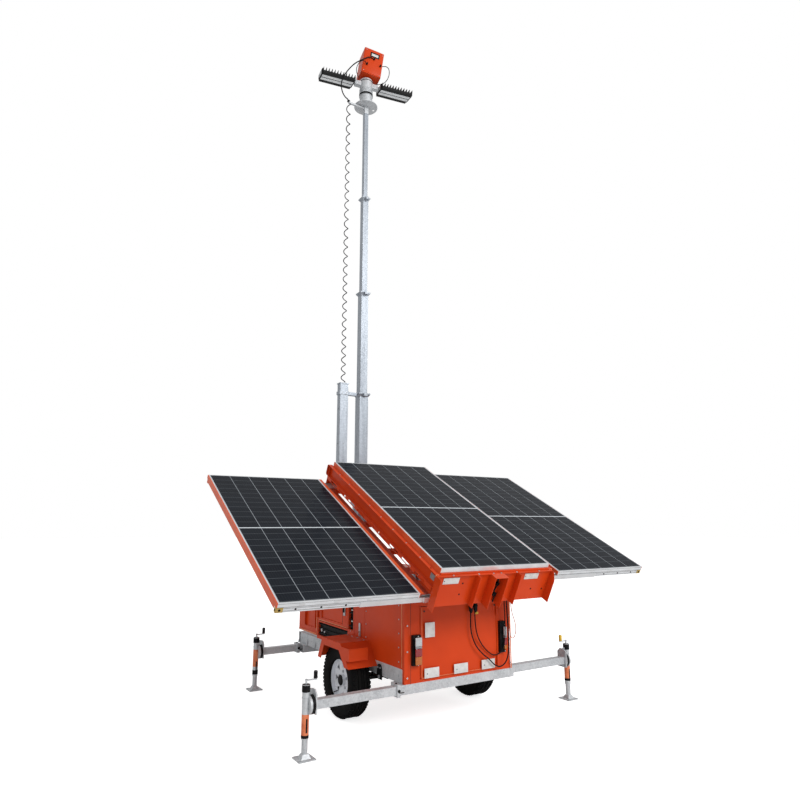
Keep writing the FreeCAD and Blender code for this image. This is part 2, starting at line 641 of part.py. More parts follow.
def channel(x0, x1, y, top, level, steps):
    """An open-topped channel round the runner bar; steps counts the skins outside the bar."""
    reach = steps * (RUNNER_SKIN + SEAT)
    half = RUNNER_BAR / 2 + reach
    low = level - RUNNER_BAR_HEIGHT - reach
    outer = box(x0, x1, y - half, y + half, low, top)
    inner_half = half - RUNNER_SKIN
    return outer.cut(box(x0, x1, y - inner_half, y + inner_half, low + RUNNER_SKIN, top + 1))


def array():
    flat = {"module_centre": module(-MODULE_HALF, 0)}
    rows = (NEAR_EDGE + RUNNER_SET_IN, NEAR_EDGE + MODULE_LENGTH - RUNNER_SET_IN)
    notch = RUNNER_BAR / 2 + 2 * (RUNNER_SKIN + SEAT) + 3
    bar = SIDE_BAR["thick"]
    fixed = []
    for word, side, drop, gap in (("left", -1, LEFT_DROP, LEFT_GAP), ("right", 1, RIGHT_DROP, RIGHT_GAP)):
        level = FLAT_TOP - drop - MODULE_THICK
        top = level - RUNNER_TOP_GAP
        shift = MODULE_WIDTH + gap
        x0 = -MODULE_HALF + side * shift
        x1 = x0 + MODULE_WIDTH
        xm = -MODULE_HALF + side * shift / 2
        wing, mids = [module(x0, drop)], []
        if side < 0:
            wing.append(box(x1, x1 + LEFT_EDGE_STRIP, NEAR_EDGE, NEAR_EDGE + MODULE_LENGTH,
                            FLAT_TOP - drop - bar, FLAT_TOP - drop - SIDE_BAR["top"]))
        whole = fused(wing)
        bars = []
        for y in rows:
            whole = whole.cut(box(x0 - bar - 1, x0, y - notch, y + notch, level - RUNNER_BAR_HEIGHT, level))
            whole = whole.cut(box(x1, x1 + bar + 1, y - notch, y + notch, level - RUNNER_BAR_HEIGHT, level))
            bars.append(box(x0, x1, y - RUNNER_BAR / 2, y + RUNNER_BAR / 2, level - RUNNER_BAR_HEIGHT, level))
            mids.append(channel(xm, xm + MODULE_WIDTH, y, top, level, 1))
            ends = sorted((-side * MODULE_HALF, side * (MODULE_HALF + FIXED_REACH)))
            fixed.append(channel(ends[0], ends[1], y, top, level, 2))
        flat[word + "_wing"] = fused([whole] + bars)
        flat[word + "_mid_rails"] = apart(mids)
    flat["fixed_rails"] = apart(fixed)
    flat["cradle_frame"] = cradle()
    for name, shape in flat.items():
        keep(name, turned(shape, V(0, HINGE_Y, HINGE_Z), AX, TILT))


def rounded_end(solid, end, radius):
    edges = []
    for edge in solid.Edges:
        middle = edge.CenterOfMass
        across = abs(edge.Vertexes[0].X - edge.Vertexes[-1].X) > 1
        if across and abs(middle.y - end) < 0.01:
            edges.append(edge)
    return solid.makeFillet(radius, edges)


def side_channel(near, far, low):
    """The left channel between near and far, open outward, closed and rounded at its far end."""
    web = MODULE_HALF + WEB_OUT
    out = MODULE_HALF + FLANGE_OUT
    top = FLAT_TOP - WEB_TOP
    radius = min(CHANNEL_ROUND, (top - low) / 2 - 1)
    body = rounded_end(box(-out, -web + PLATE / 2, near, far, low, top), far, radius)
    inner = radius - PLATE if radius > 2 * PLATE else radius / 2
    space = box(-out - PAST, -web - PLATE / 2, near - PAST, far - PLATE, low + PLATE, top - PLATE)
    body = body.cut(rounded_end(space, far - PLATE, inner))
    lip = box(-web, -MODULE_HALF - SIDE_BAR["thick"], near, far - radius, top - PLATE, top)
    return fused([body, lip])


def cradle():
    reach = RUNNER_BAR / 2 + 2 * (RUNNER_SKIN + SEAT) - RUNNER_SET_IN
    near = NEAR_EDGE - reach
    far = NEAR_EDGE + MODULE_LENGTH + reach
    out = MODULE_HALF + FRAME_OUT
    edge = MODULE_HALF + FLANGE_OUT
    bottom = FLAT_TOP - CRADLE_DEPTH
    channel_end = NEAR_EDGE + MODULE_LENGTH + CHANNEL_PAST
    left = side_channel(near, channel_end, FLAT_TOP - WEB_LOW)
    tabs = box(-edge, -out, near + TAB_IN, far - TAB_IN, FLAT_TOP - WINDOW_LOW, FLAT_TOP - WEB_LOW)
    pitch = (far - near - WINDOW_LENGTH) / WINDOWS
    for n in range(WINDOWS):
        y = near + WINDOW_LENGTH / 2 + pitch * (n + 0.5)
        tabs = tabs.cut(block(-out, y, FLAT_TOP - (WEB_LOW + WINDOW_LOW) / 2, WINDOW_LENGTH, WINDOW_LENGTH,
                              WINDOW_HEIGHT - 4))
    right = mirrored(side_channel(near, channel_end, FLAT_TOP - RIGHT_WEB_LOW))
    pieces = [left, tabs, right]
    for side in (-1, 1):
        x = side * (BED_HALF - CRADLE_BEAM / 2)
        pieces.append(block(x, (near + far) / 2, bottom + CRADLE_BEAM / 2, CRADLE_BEAM, far - near, CRADLE_BEAM))
    middles = [near + (far - near) * share for share in CRADLE_MIDDLES]
    for y in [near + CRADLE_END_IN, HINGE_Y] + middles + [far - CRADLE_END_IN]:
        pieces.append(block(0, y, bottom + CRADLE_BEAM / 2, 2 * BED_HALF, CRADLE_BEAM, CRADLE_BEAM))
    pieces.append(box(-out, out, far, far + SKIRT_THICK, bottom, FLAT_TOP - WEB_TOP - PLATE))
    pieces += skirt(near, out)
    for x in (-HINGE_X, HINGE_X):
        half = HINGE_EAR_THICK / 2
        ear = fused([cylinder(HINGE_EAR, 2 * half, (x - half, HINGE_Y, HINGE_Z), AX),
                     box(x - half, x + half, HINGE_Y - HINGE_EAR, HINGE_Y + HINGE_EAR, HINGE_Z, bottom)])
        pieces.append(ear.cut(cylinder(HINGE_RADIUS + PIN_PLAY, 4 * half, (x - 2 * half, HINGE_Y, HINGE_Z), AX)))
    return fused(pieces)


def skirt(near, out):
    """The apron across the near edge, with its ledge, end flanges, ribs and open channel."""
    face = near - SKIRT_THICK
    top = FLAT_TOP - SKIRT_TOP
    low = top - SKIRT_DEPTH
    pieces = [
        box(-out, out, face, near, low, top),
        box(-out, out, face - SKIRT_LEDGE, near, top - PLATE, top),
        box(-out, -out + PLATE, face - SKIRT_RETURN, near, low, top),
    ]
    cut = SKIRT_RETURN / 2
    corners = [(near, low), (face - SKIRT_RETURN, low), (face - SKIRT_RETURN, top - 2 * cut), (face - cut, top), (near, top)]
    pieces.append(prism_x(corners, out - PLATE, out))
    for x in SKIRT_RIBS:
        pieces.append(box(x - PLATE / 2, x + PLATE / 2, face - SKIRT_RIB_DEPTH, near, low, top))
    x0, x1, depth = SKIRT_CHANNEL["x0"], SKIRT_CHANNEL["x1"], SKIRT_CHANNEL["depth"]
    pieces.append(box(x0, x0 + PLATE, face - depth, near, low, top))
    pieces.append(box(x1 - PLATE, x1, face - depth, near, low, top))
    pieces.append(box(x0, x1, face - depth, near, top - PLATE, top))
    return pieces


def hinge_brackets():
    pairs = []
    reach = HINGE_EAR_THICK / 2 + HINGE_LUG_GAP
    for x in (-HINGE_X, HINGE_X):
        ends = reach + HINGE_LUG
        pieces = [cylinder(HINGE_RADIUS, 2 * ends, (x - ends, HINGE_Y, HINGE_Z), AX)]
        for side in (-1, 1):
            x0 = min(x + side * reach, x + side * ends)
            lug = [(HINGE_Y - 2 * HINGE_EAR, CABINET_TOP), (HINGE_Y + 2 * HINGE_EAR, CABINET_TOP),
                   (HINGE_Y + HINGE_EAR, HINGE_Z + HINGE_EAR * 0.6), (HINGE_Y - HINGE_EAR, HINGE_Z + HINGE_EAR * 0.6)]
            pieces.append(prism_x(lug, x0, x0 + HINGE_LUG))
        pairs.append(fused(pieces))
    keep("array_hinges", apart(pairs))


def tilted_point(y, z):
    a = math.radians(TILT)
    dy, dz = y - HINGE_Y, z - HINGE_Z
    return HINGE_Y + dy * math.cos(a) - dz * math.sin(a), HINGE_Z + dy * math.sin(a) + dz * math.cos(a)


def tilt_cylinders():
    ty, tz = tilted_point(CYL_EYE_FLAT_Y, FLAT_TOP - CRADLE_DEPTH + CRADLE_BEAM / 2)
    by, bz = CYL_BASE
    length = math.hypot(ty - by, tz - bz)
    along = V(0, (ty - by) / length, (tz - bz) / length)
    x = CYL_X
    base = V(x, by, bz)
    start = base + along * CYL_START
    barrel = Part.makeCylinder(CYL_RADIUS, CYL_LENGTH, start, along)
    barrel = barrel.cut(Part.makeCylinder(ROD_RADIUS + PIN_PLAY, CYL_LENGTH, start + along * CYL_BOTTOM, along))
    eye = cylinder(CYL_RADIUS, 2 * EYE_HALF, (x - EYE_HALF, by, bz), AX)
    body = fused([barrel, eye]).cut(cylinder(PIN_RADIUS + PIN_PLAY, 4 * EYE_HALF, (x - 2 * EYE_HALF, by, bz), AX))
    rod = Part.makeCylinder(ROD_RADIUS, length - ROD_START, base + along * ROD_START, along)
    tip = cylinder(2 * PIN_RADIUS, 2 * EYE_HALF, (x - EYE_HALF, ty, tz), AX)
    stub_end = BED_HALF + SEAT
    stub = cylinder(PIN_RADIUS, x - stub_end, (stub_end, ty, tz), AX)
    rod = fused([rod, tip, stub])
    keep("tilt_cylinders", apart([body, mirrored(body)]))
    keep("tilt_rods", apart([rod, mirrored(rod)]))


def collar(width, top):
    """A guide collar: a square plate, a taper down to the tube and a clamp on the rear face."""
    rim = width + 2 * COLLAR_RIM
    plate = block(0, MAST_Y, top - COLLAR_TOP / 2, rim, rim, COLLAR_TOP)
    taper = Part.makeLoft([square(rim, 0, MAST_Y, top - COLLAR_TOP), square(width, 0, MAST_Y, top - COLLAR_HEIGHT)], True)
    clamp = block(0, MAST_Y - rim / 2 - CLAMP["out"] / 2 + COLLAR_RIM / 2, top - COLLAR_HEIGHT / 2, CLAMP["width"],
                  CLAMP["out"] + COLLAR_RIM, CLAMP["height"])
    return [plate, taper, clamp]


def in_plates(tube, half, low, high):
    """A welded tube as its four plates: all of it lies outside a square hole of this half width."""
    out = 4 * half
    regions = [box(-out, out, MAST_Y - out, MAST_Y - half, low, high),
               box(-out, out, MAST_Y + half, MAST_Y + out, low, high),
               box(-out, -half, MAST_Y - half, MAST_Y + half, low, high),
               box(half, out, MAST_Y - half, MAST_Y + half, low, high)]
    return [tube.common(region) for region in regions]


def mast():
    tops = [BASE_TOP + RISE * n for n in range(4)] + [BASE_TOP + 3 * RISE + LAST_RISE]
    lows = [BAY_FLOOR + MAST_FOOT["thick"]] + [tops[n] - OVERLAP for n in range(4)]
    for n, width in enumerate(SECTIONS):
        shape = tube_z(lows[n], tops[n], 0, MAST_Y, width, width, MAST_WALL)
        if n == 0:
            ribs = []
            out, place, thick = MAST_RIB["out"], MAST_RIB["place"], MAST_RIB["width"]
            middle = (lows[0] + tops[0] - COLLAR_HEIGHT) / 2
            tall = tops[0] - COLLAR_HEIGHT - lows[0]
            for a in (-place, place):
                ribs.append(block(a, MAST_Y, middle, thick, width + 2 * out, tall))
                ribs.append(block(0, MAST_Y + a, middle, width + 2 * out, thick, tall))
            foot = block(0, MAST_Y, BAY_FLOOR + MAST_FOOT["thick"] / 2, MAST_FOOT["width"], MAST_FOOT["depth"],
                         MAST_FOOT["thick"])
            bore = block(0, MAST_Y, middle, width - 2 * MAST_WALL, width - 2 * MAST_WALL, tall)
            shape = fused([shape] + [rib.cut(bore) for rib in ribs])
        if n < 4:
            hole = SECTIONS[n + 1] + 2 * SEAT
            shape = fused([shape] + collar(width, tops[n]))
            shape = shape.cut(block(0, MAST_Y, tops[n], hole, hole, 4 * COLLAR_HEIGHT))
        if n == 0:
            shape = apart([foot] + in_plates(shape, hole / 2, lows[0], tops[0]))
        if n > 0:
            fit = SECTIONS[n - 1] - 2 * MAST_WALL - 2 * SEAT
            shape = fused([shape, tube_z(lows[n], lows[n] + SHOE_HEIGHT, 0, MAST_Y, fit, fit, (fit - width) / 2)])
        keep("mast_section_%d" % (n + 1), shape)
    return tops


def cable_post(top):
    post_top = top + POST_ABOVE
    tube = tube_z(post_top - POST_LENGTH, post_top, POST_X, MAST_Y, POST_WIDTH, POST_DEPTH, POST_WALL)
    flare = POST_LIP["out"]
    lip = tube_z(post_top - POST_LIP["height"], post_top, POST_X, MAST_Y, POST_WIDTH + 2 * flare, POST_DEPTH + 2 * flare,
                 flare + POST_WALL)
    band = tube_z(top - COLLAR_HEIGHT, top, POST_X, MAST_Y, POST_WIDTH + 2 * POST_BAND, POST_DEPTH + 2 * POST_BAND, POST_BAND)
    mast_half = SECTIONS[1] / 2 + COLLAR_RIM
    arm = box(POST_X + POST_WIDTH / 2 + POST_BAND, -mast_half, MAST_Y - POST_ARM["half"], MAST_Y + POST_ARM["half"],
              top - COLLAR_HEIGHT + POST_ARM["top"], top)
    keep("cable_post", fused([tube, lip, band, arm]))
    return post_top


def head(top, post_top):
    centre = V(0, MAST_Y, 0)
    arm_z = PLATE_Z - HEAD_ARM["below"]
    half = HEAD_ARM["half"]
    band = NECK_BAND["height"]
    neck_low = cylinder(NECK_RADIUS, NECK_SPLIT - band - PLATE_Z, (0, MAST_Y, PLATE_Z), AZ)
    rim = cylinder(NECK_RADIUS + NECK_BAND["out"], band, (0, MAST_Y, NECK_SPLIT - band), AZ)
    plate = cylinder(PLATE_RADIUS, PLATE_THICK, (0, MAST_Y, PLATE_Z - PLATE_THICK), AZ)
    plate = plate.cut(cylinder(PLATE_HOLE, PLATE_THICK, (PLATE_RADIUS * 0.75, MAST_Y, PLATE_Z - PLATE_THICK), AZ))
    stem = block(0, MAST_Y, (top + PLATE_Z - PLATE_THICK) / 2, SECTIONS[4], SECTIONS[4], PLATE_Z - PLATE_THICK - top)
    arm = box(POST_X, -SECTIONS[4] / 2, MAST_Y - half, MAST_Y + half, arm_z - HEAD_ARM["height"], arm_z)
    keep("mast_head_plate", fused([neck_low, rim, plate, stem, arm]))
    coil_low = post_top - COIL_LOW
    coil_top = arm_z - HEAD_ARM["height"] - SEAT
    keep("spiral_cable", cylinder(COIL_RADIUS, coil_top - coil_low, (POST_X, MAST_Y, coil_low), AZ))
    neck = [cylinder(NECK_RADIUS, NECK_TOP - NECK_SPLIT - SEAT, (0, MAST_Y, NECK_SPLIT + SEAT), AZ)]
    for n in range(NECK_RIBS):
        neck.append(cylinder(NECK_RADIUS + NECK_RIB["out"], NECK_RIB["height"],
                             (0, MAST_Y, NECK_RIB["first"] + n * NECK_RIB["pitch"]), AZ))
    neck.append(block(0, MAST_Y, LAMP_Z, 2 * LAMP_IN - 10, YOKE, YOKE))
    keep("head_swivel", turned(fused(neck), centre, AZ, HEAD_YAW))
    keep("head_box", turned(head_box(), centre, AZ, HEAD_YAW))
    for word, side in (("left", -1), ("right", 1)):
        lamp = lamp_pair()
        if side < 0:
            lamp = mirrored(lamp)
        keep("lamps_" + word, turned(lamp, centre, AZ, HEAD_YAW))


def head_box():
    low = NECK_TOP + BOX["foot"]
    case = block(BOX["offset"], MAST_Y, low + BOX["height"] / 2, BOX["width"], BOX["depth"], BOX["height"])
    upright = [e for e in case.Edges if abs(e.Vertexes[0].Z - e.Vertexes[-1].Z) > 1]
    case = case.makeChamfer(BOX["chamfer"], upright)
    case = turned(case, V(BOX["offset"], MAST_Y, low), AY, BOX["lean"])
    foot = block(BOX["offset"], MAST_Y, NECK_TOP + BOX["foot"], NECK_RADIUS, NECK_RADIUS, 2 * BOX["foot"])
    return fused([case, foot])


def lamp_pair():
    pieces = []
    start = LAMP_IN + 2 * LAMP_END
    length = LAMP_OUT - LAMP_END - start
    low = LAMP_Z - LAMP_HEIGHT / 2
    fins_low = low + LAMP_LENS
    pitch = (length - FIN_THICK) / (FINS - 1)
    for row in (-0.5, 0.5):
        y = MAST_Y + row * LAMP_PITCH
        pieces.append(box(start, start + length, y - LAMP_DEPTH / 2, y + LAMP_DEPTH / 2, low, fins_low))
        for n in range(FINS):
            x = start + n * pitch
            pieces.append(box(x, x + FIN_THICK, y - LAMP_DEPTH / 2, y + LAMP_DEPTH / 2, fins_low, low + LAMP_HEIGHT))
    span = LAMP_PITCH + LAMP_DEPTH / 2
    for x in (start - LAMP_END, LAMP_OUT - LAMP_END):
        pieces.append(box(x, x + LAMP_END, MAST_Y - span / 2, MAST_Y + span / 2, low + 6, low + LAMP_HEIGHT - 6))
    hub = LAMP_IN - 5 + SEAT
    pieces.append(cylinder(16, start - LAMP_END - hub, (hub, MAST_Y, LAMP_Z), AX))
    return turned(fused(pieces), V(0, MAST_Y, LAMP_Z), AX, LAMP_TILT)


def main():
    chassis()
    drawbar()
    axle_and_springs()
    for side in (-1, 1):
        wheel(side)
    mudguards()
    cabinet()
    outrigger("rear_left", -1, REAR_ARM_Y[0], REAR_JACK_X)
    outrigger("rear_right", 1, REAR_ARM_Y[1], REAR_JACK_X)
    outrigger("front_left", -1, FRONT_ARM_Y[0], FRONT_JACK_X)
    outrigger("front_right", 1, FRONT_ARM_Y[1], FRONT_JACK_X)
    array()
    hinge_brackets()
    tilt_cylinders()
    tops = mast()
    post_top = cable_post(tops[1])
    head(tops[4], post_top)
    os.makedirs("parts", exist_ok=True)
    for name, shape in NODES.items():
        shape.exportStep("parts/%s.step" % name)
        print(name, len(shape.Solids), shape.isValid(), round(shape.Volume / 1e9, 5))


main()
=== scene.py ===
"""Looks of the mobile light tower: camera, cables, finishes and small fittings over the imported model."""
import json
import math

import bpy
import bmesh
from mathutils import Matrix, Vector


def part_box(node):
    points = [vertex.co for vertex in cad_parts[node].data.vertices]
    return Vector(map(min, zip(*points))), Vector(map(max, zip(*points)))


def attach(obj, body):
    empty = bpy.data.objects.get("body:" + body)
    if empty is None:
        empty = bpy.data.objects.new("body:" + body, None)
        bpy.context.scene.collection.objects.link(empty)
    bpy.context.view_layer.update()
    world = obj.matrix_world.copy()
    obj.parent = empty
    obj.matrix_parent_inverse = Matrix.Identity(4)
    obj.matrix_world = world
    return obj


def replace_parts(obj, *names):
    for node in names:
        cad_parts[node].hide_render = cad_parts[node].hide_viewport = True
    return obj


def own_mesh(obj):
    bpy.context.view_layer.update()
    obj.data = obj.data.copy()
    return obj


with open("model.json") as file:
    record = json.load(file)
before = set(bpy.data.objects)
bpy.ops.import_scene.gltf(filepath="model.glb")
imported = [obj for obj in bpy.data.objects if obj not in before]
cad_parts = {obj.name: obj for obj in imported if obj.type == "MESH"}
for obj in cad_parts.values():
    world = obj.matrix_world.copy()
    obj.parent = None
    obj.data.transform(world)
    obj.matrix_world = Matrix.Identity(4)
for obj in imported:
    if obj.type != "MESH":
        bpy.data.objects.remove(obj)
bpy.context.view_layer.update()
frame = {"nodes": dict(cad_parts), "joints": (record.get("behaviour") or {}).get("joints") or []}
nodes = frame["nodes"]
joints = {joint["name"]: joint for joint in frame["joints"]}


def placed(name, data, matrix=None):
    """A new object in the scene."""
    made = bpy.data.objects.new(name, data)
    bpy.context.collection.objects.link(made)
    if matrix is not None:
        made.matrix_world = matrix
    return made


def flat_mesh(name, corners):
    """One face through its corners."""
    mesh = bpy.data.meshes.new(name)
    mesh.from_pydata(corners, [], [tuple(range(len(corners)))])
    return mesh


def on_circle(sides, start=0.0):
    """The cosine and sine of evenly spaced angles, the first at start degrees."""
    for k in range(sides):
        angle = math.radians(start) + 2 * math.pi * k / sides
        yield math.cos(angle), math.sin(angle)


# ---- the camera, fitted to the reference view

CAMERA_PLACE = (-3.414, -5.769, 1.686)
CAMERA_TURN = (32.29, 11.14, 0.103)
LENS, SENSOR = 27.70, 36.0


def place_camera():
    """A level-headed wide shot from the tower's rear left corner."""
    yaw, pitch, roll = (math.radians(angle) for angle in CAMERA_TURN)
    forward = Vector((math.sin(yaw) * math.cos(pitch), math.cos(yaw) * math.cos(pitch), math.sin(pitch)))
    level = Vector((math.cos(yaw), -math.sin(yaw), 0.0))
    upright = level.cross(forward)
    right = level * math.cos(roll) + upright * math.sin(roll)
    up = upright * math.cos(roll) - level * math.sin(roll)
    data = bpy.data.cameras.new("viewpoint")
    data.lens = LENS
    data.sensor_width = SENSOR
    data.clip_end = 400.0
    turn = Matrix((right, up, -forward)).transposed().to_4x4()
    bpy.context.scene.camera = placed("viewpoint", data, Matrix.Translation(CAMERA_PLACE) @ turn)


place_camera()


# ---- where things lie

def about(place, axis, degrees):
    """A turn of so many degrees about an axis through a place."""
    there = Matrix.Translation(Vector(place))
    return there @ Matrix.Rotation(math.radians(degrees), 4, Vector(axis)) @ there.inverted()


SIDES = (("left", -1), ("right", 1))
UP, BACK = (0, 0, 1), (0, -1, 0)
HINGE = joints["array_tilt"]["pos_m"]
ARRAY = about(HINGE, (1, 0, 0), -joints["array_tilt"]["range_deg"][0])
PANEL_TOP = HINGE[2] + 0.355
NEAR = HINGE[1] - 0.4764
PANEL_LONG = 2.094
PANEL_WIDE = 1.134
PANEL_HALF = PANEL_WIDE / 2
MODULE_DEEP, RAIL_TALL = 0.035, 0.040
GLASS_RIM, GLASS_PROUD = 0.011, 0.0006
LEFT_DROP, LEFT_GAP = 0.202, 0.133
RIGHT_DROP, RIGHT_GAP = 0.082, 0.150
LEFT_X = -PANEL_HALF - LEFT_GAP - PANEL_WIDE
RIGHT_X = PANEL_HALF + RIGHT_GAP
SKIRT = (0, NEAR - 0.010, PANEL_TOP)
REAR = (0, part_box("cabinet_rear_wall")[0][1], 0)
WALL = abs(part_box("cabinet_floor")[0][0] - 0.03)
MAST = joints["head_turn"]["pos_m"]
MAST_FOOT = (0, MAST[1], 0)
HEAD = about(MAST, UP, -11.0)
LAMP_CENTRE = (0, MAST[1], joints["lamp_left_tilt"]["pos_m"][2])
LAMPS = HEAD @ about(LAMP_CENTRE, (1, 0, 0), 12.0)
BOX_FOOT = (0.024, MAST[1] - 0.125, 7.354)
POST_X = -0.25
LEVEL = Matrix.Identity(4)
CELL_COLUMN, CELL_ROW = 0.184, 0.0928
COLUMN_LINE, ROW_LINE, MIDDLE_BAND = 0.005, 0.0035, 0.014


# ---- cables

def smooth_line(name, points):
    """A cable's centre line: one smooth curve with the route's points as its controls."""
    curve = bpy.data.curves.new(name, "CURVE")
    curve.dimensions = "3D"
    curve.resolution_u = 8
    spline = curve.splines.new("NURBS")
    spline.points.add(len(points) - 1)
    for control, point in zip(spline.points, points):
        control.co = (*point, 1.0)
    spline.order_u = 3
    spline.use_endpoint_u = True
    return placed(name, curve)


def points_on(line):
    """The points of the curve itself, as it is drawn."""
    bpy.context.view_layer.update()
    mesh = bpy.data.meshes.new_from_object(line)
    return [line.matrix_world @ v.co for v in mesh.vertices]


def cable(name, body, points, diameter, finish):
    """A round cable that hangs between its two ends on one body."""
    line = smooth_line(name, points)
    along = points_on(line)
    line.data.bevel_depth = diameter / 2
    line.data.bevel_resolution = 3
    line.data.use_fill_caps = True
    line.data.materials.append(FINISHES[finish])
    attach(line, body)


def tube_mesh(name, path, radius, sides, finish):
    """A tube swept along close points."""
    rings, faces = [], []
    across = Vector((1, 0, 0))
    last = len(path) - 1
    for i, point in enumerate(path):
        ahead = path[min(i + 1, last)] - path[max(i - 1, 0)]
        ahead.normalize()
        across = (across - ahead * across.dot(ahead)).normalized()
        other = ahead.cross(across)
        rings += [point + (across * cos + other * sin) * radius for cos, sin in on_circle(sides)]
    for i in range(last):
        for k in range(sides):
            a, b = i * sides + k, i * sides + (k + 1) % sides
            faces.append((a, b, b + sides, a + sides))
    faces.append(tuple(range(sides))[::-1])
    faces.append(tuple(last * sides + k for k in range(sides)))
    mesh = bpy.data.meshes.new(name)
    mesh.from_pydata(rings, [], faces)
    mesh.materials.append(FINISHES[finish])
    for polygon in mesh.polygons:
        polygon.use_smooth = True
    return placed(name, mesh)


# ---- finishes

FINISHES = {}


def both_ways(operation):
    """An operator on values, and its mirrored form for a number on the left."""
    def plain(self, other):
        return self.nodes.math(operation, self, other)

    def mirrored(self, other):
        return self.nodes.math(operation, other, self)

    return plain, mirrored


class Value:
    """One number or colour that changes over a surface, with arithmetic on it."""
    __add__, __radd__ = both_ways("ADD")
    __sub__, __rsub__ = both_ways("SUBTRACT")
    __mul__, __rmul__ = both_ways("MULTIPLY")
    __truediv__, __rtruediv__ = both_ways("DIVIDE")
    __mod__ = both_ways("MODULO")[0]
    __gt__ = both_ways("GREATER_THAN")[0]
    __lt__ = both_ways("LESS_THAN")[0]

    def __init__(self, nodes, socket):
        self.nodes = nodes
        self.socket = socket

    def __abs__(self):
        return self.nodes.math("ABSOLUTE", self)


class Nodes:
    """A node tree, built by naming each node's settings and what feeds its sockets."""

    def __init__(self, tree):
        self.tree = tree

    def put(self, socket, value):
        if isinstance(value, Value):
            self.tree.links.new(value.socket, socket)
        else:
            socket.default_value = value

    def add(self, kind, values=None, out=0, stops=(), **settings):
        """One node: its settings first, then the values or links of its sockets."""
        node = self.tree.nodes.new("ShaderNode" + kind)
        for key, setting in settings.items():
            setattr(node, key, setting)
        if stops:
            ramp = node.color_ramp.elements
            while len(ramp) < len(stops):
                ramp.new(0.5)
            for stop, (place, colour) in zip(ramp, stops):
                stop.position = place
                stop.color = (*colour, 1.0)
        for key, value in (values or {}).items():
            self.put(node.inputs[key], value)
        return Value(self, node.outputs[out])

    def math(self, operation, *values):
        return self.add("Math", dict(enumerate(values)), operation=operation)


class Finish(Nodes):
    """A material built round one Principled shader."""

    def __init__(self, name, **fixed):
        FINISHES[name] = material = bpy.data.materials.new(name)
        material.use_nodes = True
        super().__init__(material.node_tree)
        self.shader = self.tree.nodes["Principled BSDF"]
        self.drive(**fixed)

    def drive(self, **values):
        """Sets or links the shader's sockets; _ stands for the space in a socket's name."""
        for name, value in values.items():
            self.put(self.shader.inputs[name.replace("_", " ")], value)

    def where(self, stretch=None):
        """Places on the piece itself, in metres, stretched along its axes."""
        place = self.add("TexCoord", out=3)
        return self.add("Mapping", {"Vector": place, "Scale": stretch}) if stretch else place

    def axis(self, vector, number):
        return self.add("SeparateXYZ", {"Vector": vector}, out=number)

    def noise(self, scale, detail=3.0, rough=0.55, stretch=None):
        return self.add("TexNoise", {"Vector": self.where(stretch), "Scale": scale, "Detail": detail,
                                     "Roughness": rough})

    def cells(self, scale, out=0):
        return self.add("TexVoronoi", {"Vector": self.where(), "Scale": scale}, out)

    def spangles(self, scale):
        """One steady number for each cell."""
        return self.add("SeparateColor", {0: self.cells(scale, 1)})

    def fade(self, value, low, high, start=0.0, end=1.0):
        """Maps low..high to start..end, held at its ends."""
        return self.add("MapRange", {"Value": value, "From Min": low, "From Max": high, "To Min": start,
                                     "To Max": end}, clamp=True)

    def patches(self, scale, detail, low, high, start=0.0, end=1.0, rough=0.55, stretch=None):
        """Clouds of noise, start below low and end above high."""
        return self.fade(self.noise(scale, detail, rough, stretch), low, high, start, end)

    def between(self, share, start, end):
        """A number that goes from start to end with the share."""
        return self.fade(share, 0.0, 1.0, start, end)

    def larger(self, first, second):
        return self.math("MAXIMUM", first, second)

    def mixed(self, share, first, second):
        """One colour over another by a share from 0 to 1."""
        return self.add("Mix", {0: share, 6: tint(first), 7: tint(second)}, out=2, data_type="RGBA")

    def bump(self, value, depth, strength):
        """A bump of this depth in metres."""
        return self.add("Bump", {"Height": value, "Distance": depth, "Strength": strength})


def tint(colour):
    return colour if isinstance(colour, Value) else (*colour, 1.0)


def orange_paint():
    """Powder coat: faint orange peel, paler dusty film on upward faces and small rubbed spots."""
    paint = Finish("orange_paint", Coat_Roughness=0.12, IOR=1.5, Specular_IOR_Level=0.16)
    cloud = paint.patches(1.7, 4.0, 0.35, 0.7)
    body = paint.mixed(cloud, (0.58, 0.046, 0.005), (0.68, 0.060, 0.008))
    up = paint.axis(paint.add("NewGeometry", out=1), 2)
    dust = paint.fade(up, 0.55, 1.0) * paint.patches(6.0, 5.0, 0.3, 0.75, 0.02, 0.12)
    scuff = paint.patches(38.0, 6.0, 0.66, 0.72, 0.0, 0.125, 0.7)
    dusty = paint.mixed(dust, body, (0.55, 0.40, 0.31))
    paint.drive(Base_Color=paint.mixed(scuff, dusty, (0.30, 0.05, 0.02)),
                Roughness=paint.patches(11.0, 4.0, 0.3, 0.7, 0.30, 0.44),
                Coat_Weight=paint.between(cloud, 0.10, 0.04),
                Normal=paint.bump(paint.noise(420.0, 2.0), 0.00025, 0.35))


def galvanised():
    """Hot-dip zinc: spangles of slightly different grey, dull drips and white bloom."""
    zinc = Finish("galvanised", Metallic=0.55, IOR=1.5)
    spangle = zinc.spangles(95.0)
    bloom = zinc.patches(7.0, 5.0, 0.38, 0.68, rough=0.65, stretch=(1.0, 1.0, 0.35))
    grey = zinc.mixed(zinc.between(spangle, 0.15, 0.85), (0.42, 0.44, 0.46), (0.66, 0.68, 0.70))
    zinc.drive(Base_Color=zinc.mixed(bloom * 0.5, grey, (0.78, 0.79, 0.80)),
               Roughness=zinc.between(spangle, 0.44, 0.60) + bloom * 0.12,
               Normal=zinc.bump(zinc.noise(60.0, 4.0), 0.0008, 0.3))


